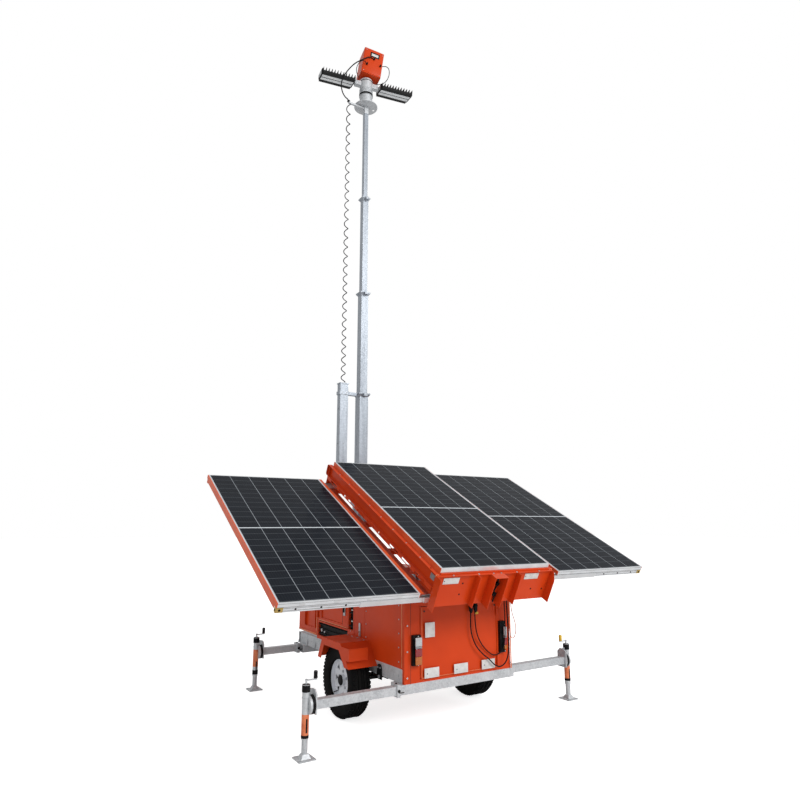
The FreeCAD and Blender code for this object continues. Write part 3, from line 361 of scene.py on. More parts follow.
def mast_zinc():
    """The mast's bright zinc tube, drawn along its length."""
    zinc = Finish("mast_zinc", Metallic=0.6, IOR=1.5)
    streak = zinc.noise(26.0, 4.0, 0.6, (1.0, 1.0, 0.05))
    mottle = zinc.between(zinc.spangles(80.0), 0.0, 0.5) + zinc.fade(streak, 0.3, 0.7, 0.0, 0.5)
    zinc.drive(Base_Color=zinc.mixed(mottle, (0.27, 0.30, 0.34), (0.46, 0.50, 0.55)),
               Roughness=zinc.fade(streak, 0.3, 0.7, 0.26, 0.42),
               Normal=zinc.bump(zinc.noise(90.0, 3.0, 0.5, (1.0, 1.0, 0.1)), 0.0006, 0.3))


def brushed_bars(name, dull, bright, gloss, orange_outside=None, **fixed):
    """Anodised bars, brushed along their length; those outside two places across are painted orange."""
    bar = Finish(name, IOR=1.45, **fixed)
    brushed = bar.noise(140.0, 3.0, 0.6, (0.06, 1.0, 1.0))
    smear = bar.patches(9.0, 4.0, 0.35, 0.7)
    colour = bar.mixed(smear, dull, bright)
    if orange_outside:
        across = bar.axis(bar.where(), 0)
        side = bar.larger(across < orange_outside[0], across > orange_outside[1])
        colour = bar.mixed(side, colour, bar.mixed(smear, (0.66, 0.085, 0.020), (0.78, 0.125, 0.035)))
        bar.drive(Metallic=(1.0 - side) * 0.6)
    bar.drive(Base_Color=colour, Roughness=bar.fade(brushed, 0.3, 0.7, *gloss),
              Normal=bar.bump(brushed, 0.0002, 0.25))


def worn(name, haze, film, gloss, bump, specks=None, coat=None, **fixed):
    """Paint, plastic or rubber: a film in patches, specks over it, uneven gloss and a fine bump.

    haze is scale, detail, from, to and roughness; film is its share, the clean and the hazy colour;
    bump is scale, detail (None for cells), depth and strength; specks is scale, detail, from, to, share, colour.
    """
    paint = Finish(name, **fixed)
    scale, detail, low, high, rough = haze
    patch = paint.patches(scale, detail, low, high, rough=rough)
    share, clean, hazy = film
    colour = paint.mixed(patch * share, clean, hazy)
    if specks:
        scale, detail, low, high, share, dark = specks
        colour = paint.mixed(paint.patches(scale, detail, low, high, 0.0, share, 0.7), colour, dark)
    if coat:
        paint.drive(Coat_Weight=paint.between(patch, *coat))
    scale, detail, depth, strength = bump
    grain = paint.noise(scale, detail) if detail else paint.cells(scale)
    paint.drive(Base_Color=colour, Roughness=paint.between(patch, *gloss),
                Normal=paint.bump(grain, depth, strength))


def plain_paint(name, pale, dark, low, high, **fixed):
    """A small moulded or painted piece: two close colours in clouds."""
    worn(name, (24.0, 5.0, 0.36, 0.68, 0.6), (1.0, pale, dark), (low, high), (380.0, 2.0, 0.0002, 0.3),
         (160.0, 4.0, 0.64, 0.7, 0.3, tuple(c * 0.4 for c in dark)), IOR=1.5, **fixed)


def lens(name, prisms, fade, haze, veil, gloss, coat, bump, **fixed):
    """A lamp's front: small prisms or optics under a clear, slightly hazed skin.

    fade is where the prisms' colours stand; veil is the haze's share and colour, or None.
    """
    front = Finish(name, **fixed)
    optics = front.cells(prisms)
    hazed = front.patches(haze, 4.0, 0.35, 0.7)
    colour = fade(front, optics)
    if veil:
        colour = front.mixed(hazed * veil[0], colour, veil[1])
    front.drive(Base_Color=colour, Roughness=front.between(hazed, *gloss),
                Coat_Weight=front.between(hazed, *coat), Normal=front.bump(optics, *bump))


def ribbed_lens(name, pale, dark):
    """A moulded lamp lens with small prisms under a gloss skin."""
    lens(name, 260.0, lambda front, optics: front.mixed(front.fade(optics, 0.0, 0.6), pale, dark), 30.0, None,
         (0.12, 0.28), (0.7, 0.4), (0.0012, 0.5), IOR=1.49, Coat_Roughness=0.05)


def light_lens():
    """The floodlights' pale front: rows of small optics behind a clear cover."""
    rings = ((0.0, (0.98, 0.98, 0.96)), (0.4, (0.88, 0.90, 0.91)), (0.8, (0.66, 0.69, 0.72)))
    lens("light_lens", 48.0, lambda front, optics: front.add("ValToRGB", {"Fac": optics}, stops=rings), 8.0,
         (0.2, (0.76, 0.79, 0.82)), (0.14, 0.3), (0.8, 0.5), (0.002, 0.4), IOR=1.5, Coat_Roughness=0.06)


def solar_glass():
    """Half-cut cells in six columns under glass, placed by the sheet's own metres."""
    glass = Finish("solar_glass", IOR=1.5, Coat_Roughness=0.04, Specular_IOR_Level=0.035)
    place = glass.add("TexCoord", out=2)
    across, along = glass.axis(place, 0), glass.axis(place, 1)
    column = (across - (PANEL_WIDE - 6 * CELL_COLUMN) / 2) / CELL_COLUMN
    middle = abs(along - PANEL_LONG / 2)
    row = (middle - MIDDLE_BAND / 2) / CELL_ROW
    between_columns = abs(column % 1.0 - 0.5) > 0.5 - COLUMN_LINE / CELL_COLUMN / 2
    between_rows = abs(row % 1.0 - 0.5) > 0.5 - ROW_LINE / CELL_ROW / 2
    band = middle < MIDDLE_BAND / 2
    border = glass.larger(column < 0.0, column > 6.0)
    wire = abs((column * 9.0) % 1.0 - 0.5) > 0.47
    number = glass.math("FLOOR", column) * 7.3 + glass.math("FLOOR", along / CELL_ROW)
    each = glass.add("TexWhiteNoise", {"W": number}, noise_dimensions="1D")
    cloud = glass.patches(2.2, 4.0, 0.35, 0.7)
    cell = glass.mixed(each, (0.0070, 0.0090, 0.0140), (0.0105, 0.0135, 0.0195))
    for share, colour in ((cloud * 0.5, (0.0130, 0.0155, 0.0200)), (wire * 0.18, (0.12, 0.13, 0.14)),
                          (between_rows * 0.55, (0.16, 0.18, 0.20)), (between_columns * 0.8, (0.36, 0.39, 0.42)),
                          (glass.larger(band, border), (0.62, 0.66, 0.70))):
        cell = glass.mixed(share, cell, colour)
    glass.drive(Base_Color=cell, Roughness=glass.between(cloud, 0.16, 0.3),
                Coat_Weight=glass.between(cloud, 0.035, 0.015),
                Normal=glass.bump(glass.noise(3.0, 2.0), 0.0006, 0.2))


def make_finishes():
    orange_paint()
    galvanised()
    mast_zinc()
    brushed_bars("aluminium", (0.70, 0.71, 0.72), (0.80, 0.81, 0.82), (0.26, 0.42), Metallic=0.85)
    worn("black_metal", (14.0, 5.0, 0.42, 0.72, 0.65), (0.5, (0.006, 0.006, 0.007), (0.035, 0.033, 0.031)),
         (0.42, 0.68), (240.0, 3.0, 0.0003, 0.35), (60.0, 5.0, 0.68, 0.72, 0.4, (0.10, 0.10, 0.105)),
         IOR=1.5, Specular_IOR_Level=0.12)
    worn("black_plastic", (18.0, 4.0, 0.4, 0.7, 0.55), (1.0, (0.005, 0.005, 0.006), (0.016, 0.015, 0.015)),
         (0.40, 0.58), (620.0, None, 0.0002, 0.3), IOR=1.46, Specular_IOR_Level=0.12)
    worn("tyre_rubber", (9.0, 6.0, 0.4, 0.75, 0.65), (0.6, (0.0035, 0.0035, 0.004), (0.016, 0.015, 0.014)),
         (0.62, 0.85), (150.0, 4.0, 0.0005, 0.4), IOR=1.5, Specular_IOR_Level=0.08)
    worn("white_rim", (10.0, 6.0, 0.42, 0.75, 0.65), (0.4, (0.80, 0.83, 0.88), (0.42, 0.42, 0.43)),
         (0.28, 0.5), (300.0, 2.0, 0.0002, 0.25), (80.0, 4.0, 0.62, 0.7, 0.3, (0.10, 0.09, 0.08)),
         (0.4, 0.1), IOR=1.5, Coat_Roughness=0.1)
    worn("battery_case", (12.0, 5.0, 0.4, 0.7, 0.55), (1.0, (0.03, 0.03, 0.035), (0.06, 0.06, 0.065)),
         (0.45, 0.62), (300.0, None, 0.0003, 0.3), IOR=1.46)
    solar_glass()
    for name, left in (("frame_centre", -PANEL_HALF), ("frame_left", LEFT_X), ("frame_right", RIGHT_X)):
        low, high = {"frame_centre": (0.0002, -0.0002), "frame_left": (0.0042, -0.0002),
                     "frame_right": (-0.0002, -0.0002)}[name]
        brushed_bars(name, (0.70, 0.72, 0.74), (0.82, 0.84, 0.86), (0.30, 0.46),
                     (left + low, left + PANEL_WIDE + high))
    light_lens()
    ribbed_lens("white_lens", (0.72, 0.74, 0.74), (0.42, 0.45, 0.47))
    ribbed_lens("red_lens", (0.52, 0.035, 0.045), (0.20, 0.008, 0.012))
    ribbed_lens("amber_lens", (0.72, 0.25, 0.03), (0.38, 0.09, 0.01))
    plain_paint("grey_lens", (0.30, 0.31, 0.33), (0.20, 0.21, 0.22), 0.22, 0.36, Coat_Weight=0.4)
    plain_paint("white_plate", (0.74, 0.74, 0.73), (0.58, 0.57, 0.55), 0.3, 0.46)
    # a real orange for the jacks' labels, and painted highlight on the lit edges, folds and flanges elsewhere
    plain_paint("orange_label_and_edge_highlight", (0.80, 0.24, 0.10), (0.62, 0.13, 0.045), 0.3, 0.45)
    plain_paint("golden_zinc", (0.62, 0.44, 0.14), (0.40, 0.27, 0.08), 0.3, 0.5, Metallic=0.6)
    plain_paint("zinc_bolt", (0.62, 0.64, 0.66), (0.36, 0.38, 0.40), 0.26, 0.44, Metallic=0.7)
    plain_paint("yellow_plastic", (0.80, 0.52, 0.03), (0.55, 0.33, 0.02), 0.35, 0.5)
    # painted shade: near-black for seams, gaps and holes, where shade falls
    plain_paint("painted_gap_shade", (0.030, 0.012, 0.008), (0.015, 0.008, 0.006), 0.6, 0.8)
    plain_paint("orange_cord", (0.62, 0.14, 0.03), (0.42, 0.07, 0.02), 0.4, 0.55)


CORNERS = ("rear_left", "rear_right", "front_left", "front_right")
NODE_FINISH = {
    "orange_paint": ("mudguards", "cabinet_floor", "cabinet_rear_wall", "cabinet_front_wall", "cabinet_roof",
                     "cabinet_left_wall", "cabinet_right_wall", "left_door", "right_door", "rear_door",
                     "cradle_frame", "head_box"),
    "galvanised": ("chassis_frame", "outrigger_tubes", "drawbar", "array_hinges", "tilt_rods", "mast_head_plate",
                   "head_swivel",
                   *(kind + corner for kind in ("outrigger_", "jack_", "leg_") for corner in CORNERS)),
    "mast_zinc": ("cable_post", *("mast_section_%d" % n for n in range(1, 6))),
    "aluminium": ("left_mid_rails", "right_mid_rails", "fixed_rails"),
    "frame_centre": ("module_centre",),
    "frame_left": ("left_wing",),
    "frame_right": ("right_wing",),
    "black_metal": ("coupling", "axle", "leaf_springs", "tilt_cylinders", "lamps_left", "lamps_right"),
    "black_plastic": ("left_vents", "right_vents", "tail_lamps", "spiral_cable"),
    "tyre_rubber": ("tyre_left", "tyre_right"),
    "white_rim": ("rim_left", "rim_right"),
    "battery_case": ("battery_block",),
}


def dress_nodes():
    """Every solid of the model gets its finish."""
    for finish, names in NODE_FINISH.items():
        for name in names:
            mesh = nodes[name].data
            mesh.materials.clear()
            mesh.materials.append(FINISHES[finish])


make_finishes()
dress_nodes()


# ---- small pieces

class Piece:
    """Several solids gathered into one object, each with its own finish, measured from an origin."""

    def __init__(self, origin=(0, 0, 0), place=LEVEL):
        self.mesh = bmesh.new()
        self.settled = self.mesh.faces.layers.int.new("settled")
        self.origin = Vector(origin)
        self.place = place
        self.finishes = []
        self.current = 0

    def paint(self, finish):
        material = FINISHES[finish]
        if material not in self.finishes:
            self.finishes.append(material)
        self.current = self.finishes.index(material)
        return self

    def settle(self):
        for face in self.mesh.faces:
            if not face[self.settled]:
                face.material_index = self.current
                face.smooth = True
                face[self.settled] = 1
        return self

    def soften(self, made, soft, segments=2, keep=None):
        """Rounds the edges of what was just made, apart from those that run along keep."""
        if soft:
            edges = dict.fromkeys(edge for vert in made["verts"] for edge in vert.link_edges)
            if keep:
                edges = [e for e in edges if abs((e.verts[0].co - e.verts[1].co).normalized().dot(keep)) < 0.5]
            bmesh.ops.bevel(self.mesh, geom=list(edges), offset=soft, segments=segments,
                            affect="EDGES", profile=0.5)
        return self.settle()

    def block(self, matrix, soft=0.0, segments=2):
        """A cube of one metre, sized and placed by the matrix."""
        place = Matrix.Translation(self.origin) @ matrix
        return self.soften(bmesh.ops.create_cube(self.mesh, size=1.0, matrix=place), soft, segments)

    def box(self, x0, x1, y0, y1, z0, z1, soft=0.0):
        """A block between two corners, its edges rounded by soft."""
        middle = Matrix.Translation(((x0 + x1) / 2, (y0 + y1) / 2, (z0 + z1) / 2))
        return self.block(middle @ Matrix.Diagonal((abs(x1 - x0), y1 - y0, z1 - z0, 1.0)), soft)

    def rod(self, start, end, radius, sides=24, tip=None, soft=0.0):
        """A round bar or cone from start to end."""
        start, end = Vector(start) + self.origin, Vector(end) + self.origin
        along = end - start
        place = Matrix.Translation((start + end) / 2) @ along.to_track_quat("Z", "Y").to_matrix().to_4x4()
        made = bmesh.ops.create_cone(self.mesh, cap_ends=True, segments=sides, radius1=radius,
                                     radius2=radius if tip is None else tip, depth=along.length, matrix=place)
        return self.soften(made, soft, keep=along.normalized())

    def dot(self, place, push, radius, **how):
        """A short rod that starts at a place and goes along push."""
        return self.rod(place, Vector(place) + Vector(push), radius, **how)

    def turned(self, outline, middle=(0, 0, 0), axis=UP, sides=48, closed=False):
        """A lathe shape: outline is (along, radius) pairs about an axis through middle."""
        turn = Vector(axis).normalized().to_track_quat("Z", "Y").to_matrix()
        middle = Vector(middle) + self.origin
        rings = [[self.mesh.verts.new(middle + turn @ Vector((radius * cos, radius * sin, along)))
                  for cos, sin in on_circle(sides)] for along, radius in outline]
        for low, high in zip(rings, rings[1:] + rings[:1] if closed else rings[1:]):
            for k in range(sides):
                self.mesh.faces.new((low[k], low[(k + 1) % sides], high[(k + 1) % sides], high[k]))
        if not closed:
            self.mesh.faces.new(rings[0][::-1])
            self.mesh.faces.new(rings[-1])
        return self.settle()

    def prism(self, corners, push):
        """A flat outline pushed along a vector."""
        low = [self.mesh.verts.new(Vector(c) + self.origin) for c in corners]
        high = [self.mesh.verts.new(v.co + Vector(push)) for v in low]
        self.mesh.faces.new(low[::-1])
        self.mesh.faces.new(high)
        for k in range(len(low)):
            n = (k + 1) % len(low)
            self.mesh.faces.new((low[k], low[n], high[n], high[k]))
        return self.settle()

    def bolt(self, place, axis=UP, size=0.008):
        """A hexagon bolt head on its washer, standing out along axis."""
        axis = Vector(axis).normalized()
        self.dot(place, axis * size * 0.25, size * 1.25, sides=16)
        return self.dot(place, axis * size * 0.85, size, sides=6, soft=size * 0.12)

    def bolts(self, places, axis=UP, size=0.008):
        for place in places:
            self.bolt(place, axis, size)
        return self

    def done(self, name, body):
        bmesh.ops.recalc_face_normals(self.mesh, faces=self.mesh.faces)
        mesh = bpy.data.meshes.new(name)
        self.mesh.to_mesh(mesh)
        self.mesh.free()
        mesh.set_sharp_from_angle(angle=math.radians(35))
        for material in self.finishes:
            mesh.materials.append(material)
        piece = placed(name, mesh, self.place)
        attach(piece, body)
        return piece


# ---- the cables themselves

COIL_WIRE, COIL_RADIUS, COIL_PITCH = 0.0055, 0.0235, 0.117
COIL_STEPS, COIL_CROWDING = 16, 0.167


def coil():
    """The mast's spiral lead, drawn out long: its turns are closer together near the post than near the head."""
    low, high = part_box("spiral_cable")
    middle = (low[1] + high[1]) / 2
    line = smooth_line("spiral_core", [(POST_X, middle, low[2] + COIL_WIRE),
                                       (POST_X + 0.0006, middle, (low[2] + high[2]) / 2),
                                       (POST_X, middle, high[2] - COIL_WIRE)])
    core = points_on(line)
    bpy.data.objects.remove(line)
    tall = core[-1].z - core[0].z
    turns = round(tall / COIL_PITCH)
    path = []
    for n in range(turns * COIL_STEPS + 1):
        up = n / (turns * COIL_STEPS)
        share = up * (len(core) - 1)
        k = min(int(share), len(core) - 2)
        angle = 2 * math.pi * turns * up * (1 + COIL_CROWDING * (1 - up))
        path.append(core[k].lerp(core[k + 1], share - k)
                    + Vector((math.cos(angle), math.sin(angle), 0)) * COIL_RADIUS)
    lead = tube_mesh("spiral_lead", path, COIL_WIRE, 6, "black_plastic")
    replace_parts(lead, "spiral_cable")
    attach(lead, "mast_2")
    lowered = tall - sum(abs(joints["mast_%d_slide" % n]["range_m"][0]) for n in (3, 4, 5))
    max(lowered / tall, 0.1)
    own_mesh(lead)


REAR_LEADS = (
    # name, diameter, finish, flat x of both ends on the array, points that it hangs through
    ("rear_lead_long", 0.011, "black_plastic", (0.100, 0.480),
     ((0.102, -1.386, 1.30), (0.102, -1.366, 1.12), (0.102, -1.365, 0.96), (0.095, -1.366, 0.865),
      (0.093, -1.368, 0.751), (0.138, -1.372, 0.634), (0.225, -1.374, 0.550), (0.282, -1.376, 0.515),
      (0.339, -1.378, 0.457), (0.404, -1.386, 0.431), (0.473, -1.394, 0.476), (0.497, -1.397, 0.579),
      (0.494, -1.396, 0.75), (0.488, -1.394, 0.914), (0.480, -1.392, 1.10), (0.480, -1.396, 1.32))),
    ("rear_lead_short", 0.010, "black_plastic", (0.155, 0.430),
     ((0.153, -1.386, 1.30), (0.153, -1.366, 1.12), (0.153, -1.365, 0.96), (0.140, -1.366, 0.862),
      (0.159, -1.368, 0.717), (0.240, -1.352, 0.610), (0.329, -1.352, 0.539), (0.381, -1.356, 0.529),
      (0.436, -1.372, 0.556), (0.462, -1.388, 0.64), (0.466, -1.392, 0.80), (0.460, -1.392, 1.00),
      (0.446, -1.396, 1.30))),
    ("rear_lead_thin", 0.006, "orange_cord", (0.545, 0.508),
     ((0.545, -1.39, 1.30), (0.545, -1.386, 1.10), (0.545, -1.384, 0.90), (0.596, -1.382, 0.79),
      (0.603, -1.382, 0.72), (0.575, -1.382, 0.655), (0.535, -1.384, 0.665), (0.518, -1.388, 0.74),
      (0.514, -1.392, 0.95), (0.510, -1.394, 1.30))),
)
JUNCTIONS = (0, -1.285, PANEL_TOP)


def rear_leads():
    """The leads that hang in loops behind the skirt, from the junction boxes under the glass."""
    boxes = Piece(JUNCTIONS, ARRAY)
    boxes.paint("black_plastic")
    for x0, x1 in ((0.07, 0.19), (0.40, 0.56)):
        boxes.box(x0, x1, -0.030, 0.030, -0.031, -0.0075, 0.004)
    for name, diameter, finish, ends, hang in REAR_LEADS:
        start, end = (ARRAY @ (Vector((x, 0, -0.029)) + Vector(JUNCTIONS)) for x in ends)
        cable(name, "array", [start, *hang, end], diameter, finish)
        for x in ends:
            boxes.rod((x, 0, -0.030), (x, 0, -0.054), diameter * 0.95, 20, diameter * 0.62, 0.001)
    boxes.done("junction_boxes", "array")


HEAD_LEADS = (
    ("head_lead", 0.014,
     ((0.035, 0.346, 7.585), (-0.010, 0.335, 7.600), (-0.062, 0.335, 7.568), (-0.126, 0.340, 7.514),
      (-0.238, 0.350, 7.416), (-0.336, 0.365, 7.270), (-0.392, 0.385, 7.154), (-0.398, 0.405, 7.060),
      (-0.366, 0.425, 6.985), (-0.318, 0.440, 6.950), (-0.268, 0.455, 6.946), (-0.250, 0.466, 6.940))),
    ("lamp_lead_left", 0.009,
     ((-0.060, 0.345, 7.470), (-0.095, 0.335, 7.500), (-0.150, 0.335, 7.485), (-0.200, 0.345, 7.410),
      (-0.205, 0.375, 7.340), (-0.165, 0.410, 7.318), (-0.125, 0.445, 7.304))),
    ("lamp_lead_right", 0.009,
     ((0.140, 0.345, 7.520), (0.200, 0.330, 7.555), (0.262, 0.330, 7.540), (0.275, 0.345, 7.450),
      (0.235, 0.375, 7.350), (0.175, 0.405, 7.318), (0.125, 0.430, 7.304))),
)

coil()
rear_leads()
for lead_name, lead_diameter, route in HEAD_LEADS:
    cable(lead_name, "head", route, lead_diameter, "black_plastic")


# ---- fittings

def solar_sheet(name, body, x0, drop):
    """One module's glass and cells, a hair above the frame."""
    near, wide, long = GLASS_RIM, PANEL_WIDE - GLASS_RIM, PANEL_LONG - GLASS_RIM
    corners = [(near, near), (wide, near), (wide, long), (near, long)]
    mesh = flat_mesh(name, [(x0 + x, NEAR + y, PANEL_TOP - drop + GLASS_PROUD) for x, y in corners])
    for loop, corner in zip(mesh.uv_layers.new(name="metres").data, corners):
        loop.uv = corner
    mesh.materials.append(FINISHES["solar_glass"])
    sheet = placed(name, mesh, ARRAY)
    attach(sheet, body)


def solar_array():
    """Glass on the three modules and the rails' end caps, with dark dots and lines of painted shade for the rails'
    holes and gaps.
    """
    solar_sheet("glass_centre", "array", -PANEL_HALF, 0.0)
    solar_sheet("glass_left", "wing_left", LEFT_X, LEFT_DROP)
    solar_sheet("glass_right", "wing_right", RIGHT_X, RIGHT_DROP)
    for (word, way), drop, end in zip(SIDES, (LEFT_DROP, RIGHT_DROP), (LEFT_X, RIGHT_X + PANEL_WIDE)):
        caps = Piece((end, NEAR, PANEL_TOP - drop - MODULE_DEEP - RAIL_TALL), ARRAY)
        caps.paint("golden_zinc").box(0, way * 0.004, 0.003, 0.029, 0, RAIL_TALL, 0.001)
        caps.box(-way * 0.05, 0, 0.001, 0.003, 0.002, 0.038, 0.0006)
        # painted shade: the black dots stand for holes in the rails and their ends
        caps.paint("black_plastic").dot((way * 0.0035, 0.016, 0.02), (way * 0.0011, 0, 0), 0.008)
        caps.dot((-way * 0.024, 0.0012, 0.02), (0, -0.0012, 0), 0.009)
        for n in range(3):
            caps.dot((-way * (0.14 + 0.19 * n), 0.0035, 0.02), (0, -0.0013, 0), 0.0075)
        # painted shade: dark lines in the gaps along the rails
        caps.paint("painted_gap_shade")
        for y, z0, z1 in ((0.003, 0.0105, 0.0127), (0.003, 0.0290, 0.0312),
                          (0, 0.0405, 0.0425), (0, 0.0660, 0.0676)):
            caps.box(0, -way * 1.125, y - 0.0004, y, z0, z1)
        caps.paint("aluminium")
        for n in range(4):
            x = -way * (0.18 + 0.26 * n)
            caps.box(x - 0.02, x + 0.02, -0.0012, 0, 0.043, 0.066, 0.0004)
        caps.done("rail_caps_" + word, "wing_" + word)


def skirt_fittings():
    """Blank reflectors, holes, bolts and latch ends on the near skirt and the side channels; the holes are dark
    dots of painted shade, and the channels' top flanges carry strips of painted highlight.
    """
    skirt = Piece(SKIRT, ARRAY)
    skirt.paint("white_plate")
    for x0, x1 in ((-0.526, -0.373), (0.314, 0.471)):
        skirt.box(x0, x1, -0.003, 0, -0.131, -0.078, 0.001)
    # painted shade: the four dark dots stand for holes
    skirt.paint("black_plastic")
    for x, z in ((-0.327, -0.133), (-0.332, -0.230), (0.431, -0.227), (0.56, -0.234)):
        skirt.dot((x, 0, z), (0, -0.0012, 0), 0.0075)
    for x in (-0.515, 0.325):
        skirt.dot((x, -0.0028, -0.104), (0, -0.0014, 0), 0.004)
    out, web = PANEL_HALF + 0.045, PANEL_HALF + 0.015
    for side in (-1, 1):
        x = side * (out + web) / 2
        # painted highlight: a pale strip on each channel's lit top flange
        skirt.paint("orange_label_and_edge_highlight").box(side * out, side * web, 0, 0.004, -0.066, -0.044, 0.001)
        skirt.paint("black_plastic").dot((x, 0.0005, -0.056), (0, -0.0025, 0), 0.0065)
        skirt.dot((x, 0.100, -0.0462), (0, 0, 0.0014), 0.006)
    skirt.paint("orange_paint").box(-0.565, 0.565, 0, 0.020, -0.0525, -0.0370, 0.001)
    for k in (0, 3, 4, 5, 7):
        y = 0.017 + 0.2311 * (k + 0.5)
        skirt.box(-0.6055, -0.6035, y - 0.080, y + 0.080, -0.186, -0.160, 0.0005)
    skirt.paint("grey_lens").box(-web - 0.004, -web + 0.002, 0.040, 0.095, -0.125, -0.08, 0.0015)
    skirt.paint("zinc_bolt").bolts([(x, -0.012, -0.052) for x in (-0.45, -0.2, -0.05, 0.03, 0.2, 0.45)], UP, 0.006)
    skirt.bolts([(x, 0.26 + n * 0.23, -0.046) for n in range(8) for x in (0.014 - out, out - 0.014)], UP, 0.0055)
    skirt.done("skirt_fittings", "array")


def inner_wiring():
    """The dark leads bunched in the skirt's open channel."""
    points = ((0, -0.01, -0.10), (0.012, -0.014, -0.15), (-0.016, -0.018, -0.205), (0.008, -0.016, -0.26),
              (0.012, -0.012, -0.315))
    leads = Piece(Vector(SKIRT) + Vector((0.02, 0, 0)), ARRAY)
    leads.paint("black_plastic")
    for low, high in zip(points, points[1:]):
        leads.rod(low, high, 0.006, 12)
    leads.box(-0.014, 0.014, -0.026, 0, -0.16, -0.135, 0.003)
    leads.box(-0.018, 0.018, -0.024, 0, -0.255, -0.23, 0.003)
    leads.done("channel_leads", "array")


def rear_face():
    """Tail lamps, blank plates, the strip seam and the door's small fittings; the seam and the door's dark dots
    are painted shade, the pale strips on the edges painted highlight.
    """
    lamps = Piece(REAR)
    for x0, x1, steps in ((-0.490, -0.428, (0.547, 0.609, 0.611, 0.671, 0.673, 0.687, 0.689, 0.757)),
                          (0.456, 0.486, (0.575, 0.610, 0.612, 0.668, 0.670, 0.686, 0.688, 0.765))):
        for finish, z0, z1 in zip(("amber_lens", "red_lens", "grey_lens", "white_lens"), steps[::2], steps[1::2]):
            lamps.paint(finish).box(x0, x1, -0.040, -0.026, z0, z1, 0.004)
    lamps.paint("zinc_bolt").bolts(((-0.46, -0.028, 0.545), (-0.46, -0.028, 0.765), (0.47, -0.028, 0.560),
                                    (0.47, -0.028, 0.785)), BACK, 0.004)
    lamps.done("tail_lamp_lenses", "trailer")

    plates = Piece(REAR)
    plates.paint("white_plate")
    for x0, x1 in ((-0.382, -0.235), (-0.080, 0.067), (0.220, 0.367)):
        plates.box(x0, x1, -0.004, 0, 0.428, 0.505, 0.0015)
    plates.box(-0.373, -0.275, -0.002, 0, 0.743, 0.860, 0.0008)
    plates.paint("grey_lens")
    for x in (-0.355, -0.053, 0.247):
        plates.dot((x, -0.004, 0.462), (0, -0.002, 0), 0.006)
    plates.done("door_plates", "door_rear")

    wall = Piece(REAR)
    wall.paint("zinc_bolt")
    wall.bolts([(x, 0, 0.45 + n * 0.2) for x in (-0.548, 0.548) for n in range(4)], BACK, 0.0055)
    # painted shade: a dark line in the seam of the rear wall
    wall.paint("painted_gap_shade").box(-0.5175, -0.5145, -0.0006, 0, 0.402, 1.165)
    # painted highlight: a pale strip on the rear wall's lit right corner edge
    wall.paint("orange_label_and_edge_highlight").box(0.553, 0.565, -0.0008, 0, 0.402, 1.165, 0.0003)
    wall.done("rear_wall_trim", "trailer")

    edges = Piece(REAR)
    # painted shade: two dark dots on the door
    edges.paint("painted_gap_shade")
    for x in (-0.38, 0.38):
        edges.dot((x, 0.001, 0.952), (0, -0.0018, 0), 0.008)
    # painted highlight: pale strips along the door's lower and left edges
    edges.paint("orange_label_and_edge_highlight").box(-0.4035, 0.4035, -0.0016, 0, 0.4315, 0.4355, 0.0006)
    edges.box(-0.4075, -0.4035, -0.0016, 0, 0.4315, 0.98, 0.0006)
    edges.done("rear_door_edges", "door_rear")


def hanging_connectors():
    """Two black plug bodies that hang behind the skirt, with a yellow tag."""
    plugs = Piece()
    for x in (0.102, 0.153):
        plugs.paint("black_plastic").turned(
            ((0.0, 0.008), (0.012, 0.013), (0.02, 0.017), (0.05, 0.0175), (0.054, 0.020), (0.062, 0.020),
             (0.066, 0.0165), (0.13, 0.0155)), (x, -1.365, 0.905), sides=28)
    plugs.paint("yellow_plastic").box(0.145, 0.178, -1.372, -1.369, 0.893, 0.912, 0.001)
    plugs.paint("galvanised").box(0.088, 0.170, -1.352, -1.348, 0.985, 1.035, 0.0008)
    plugs.done("hanging_plugs", "array")


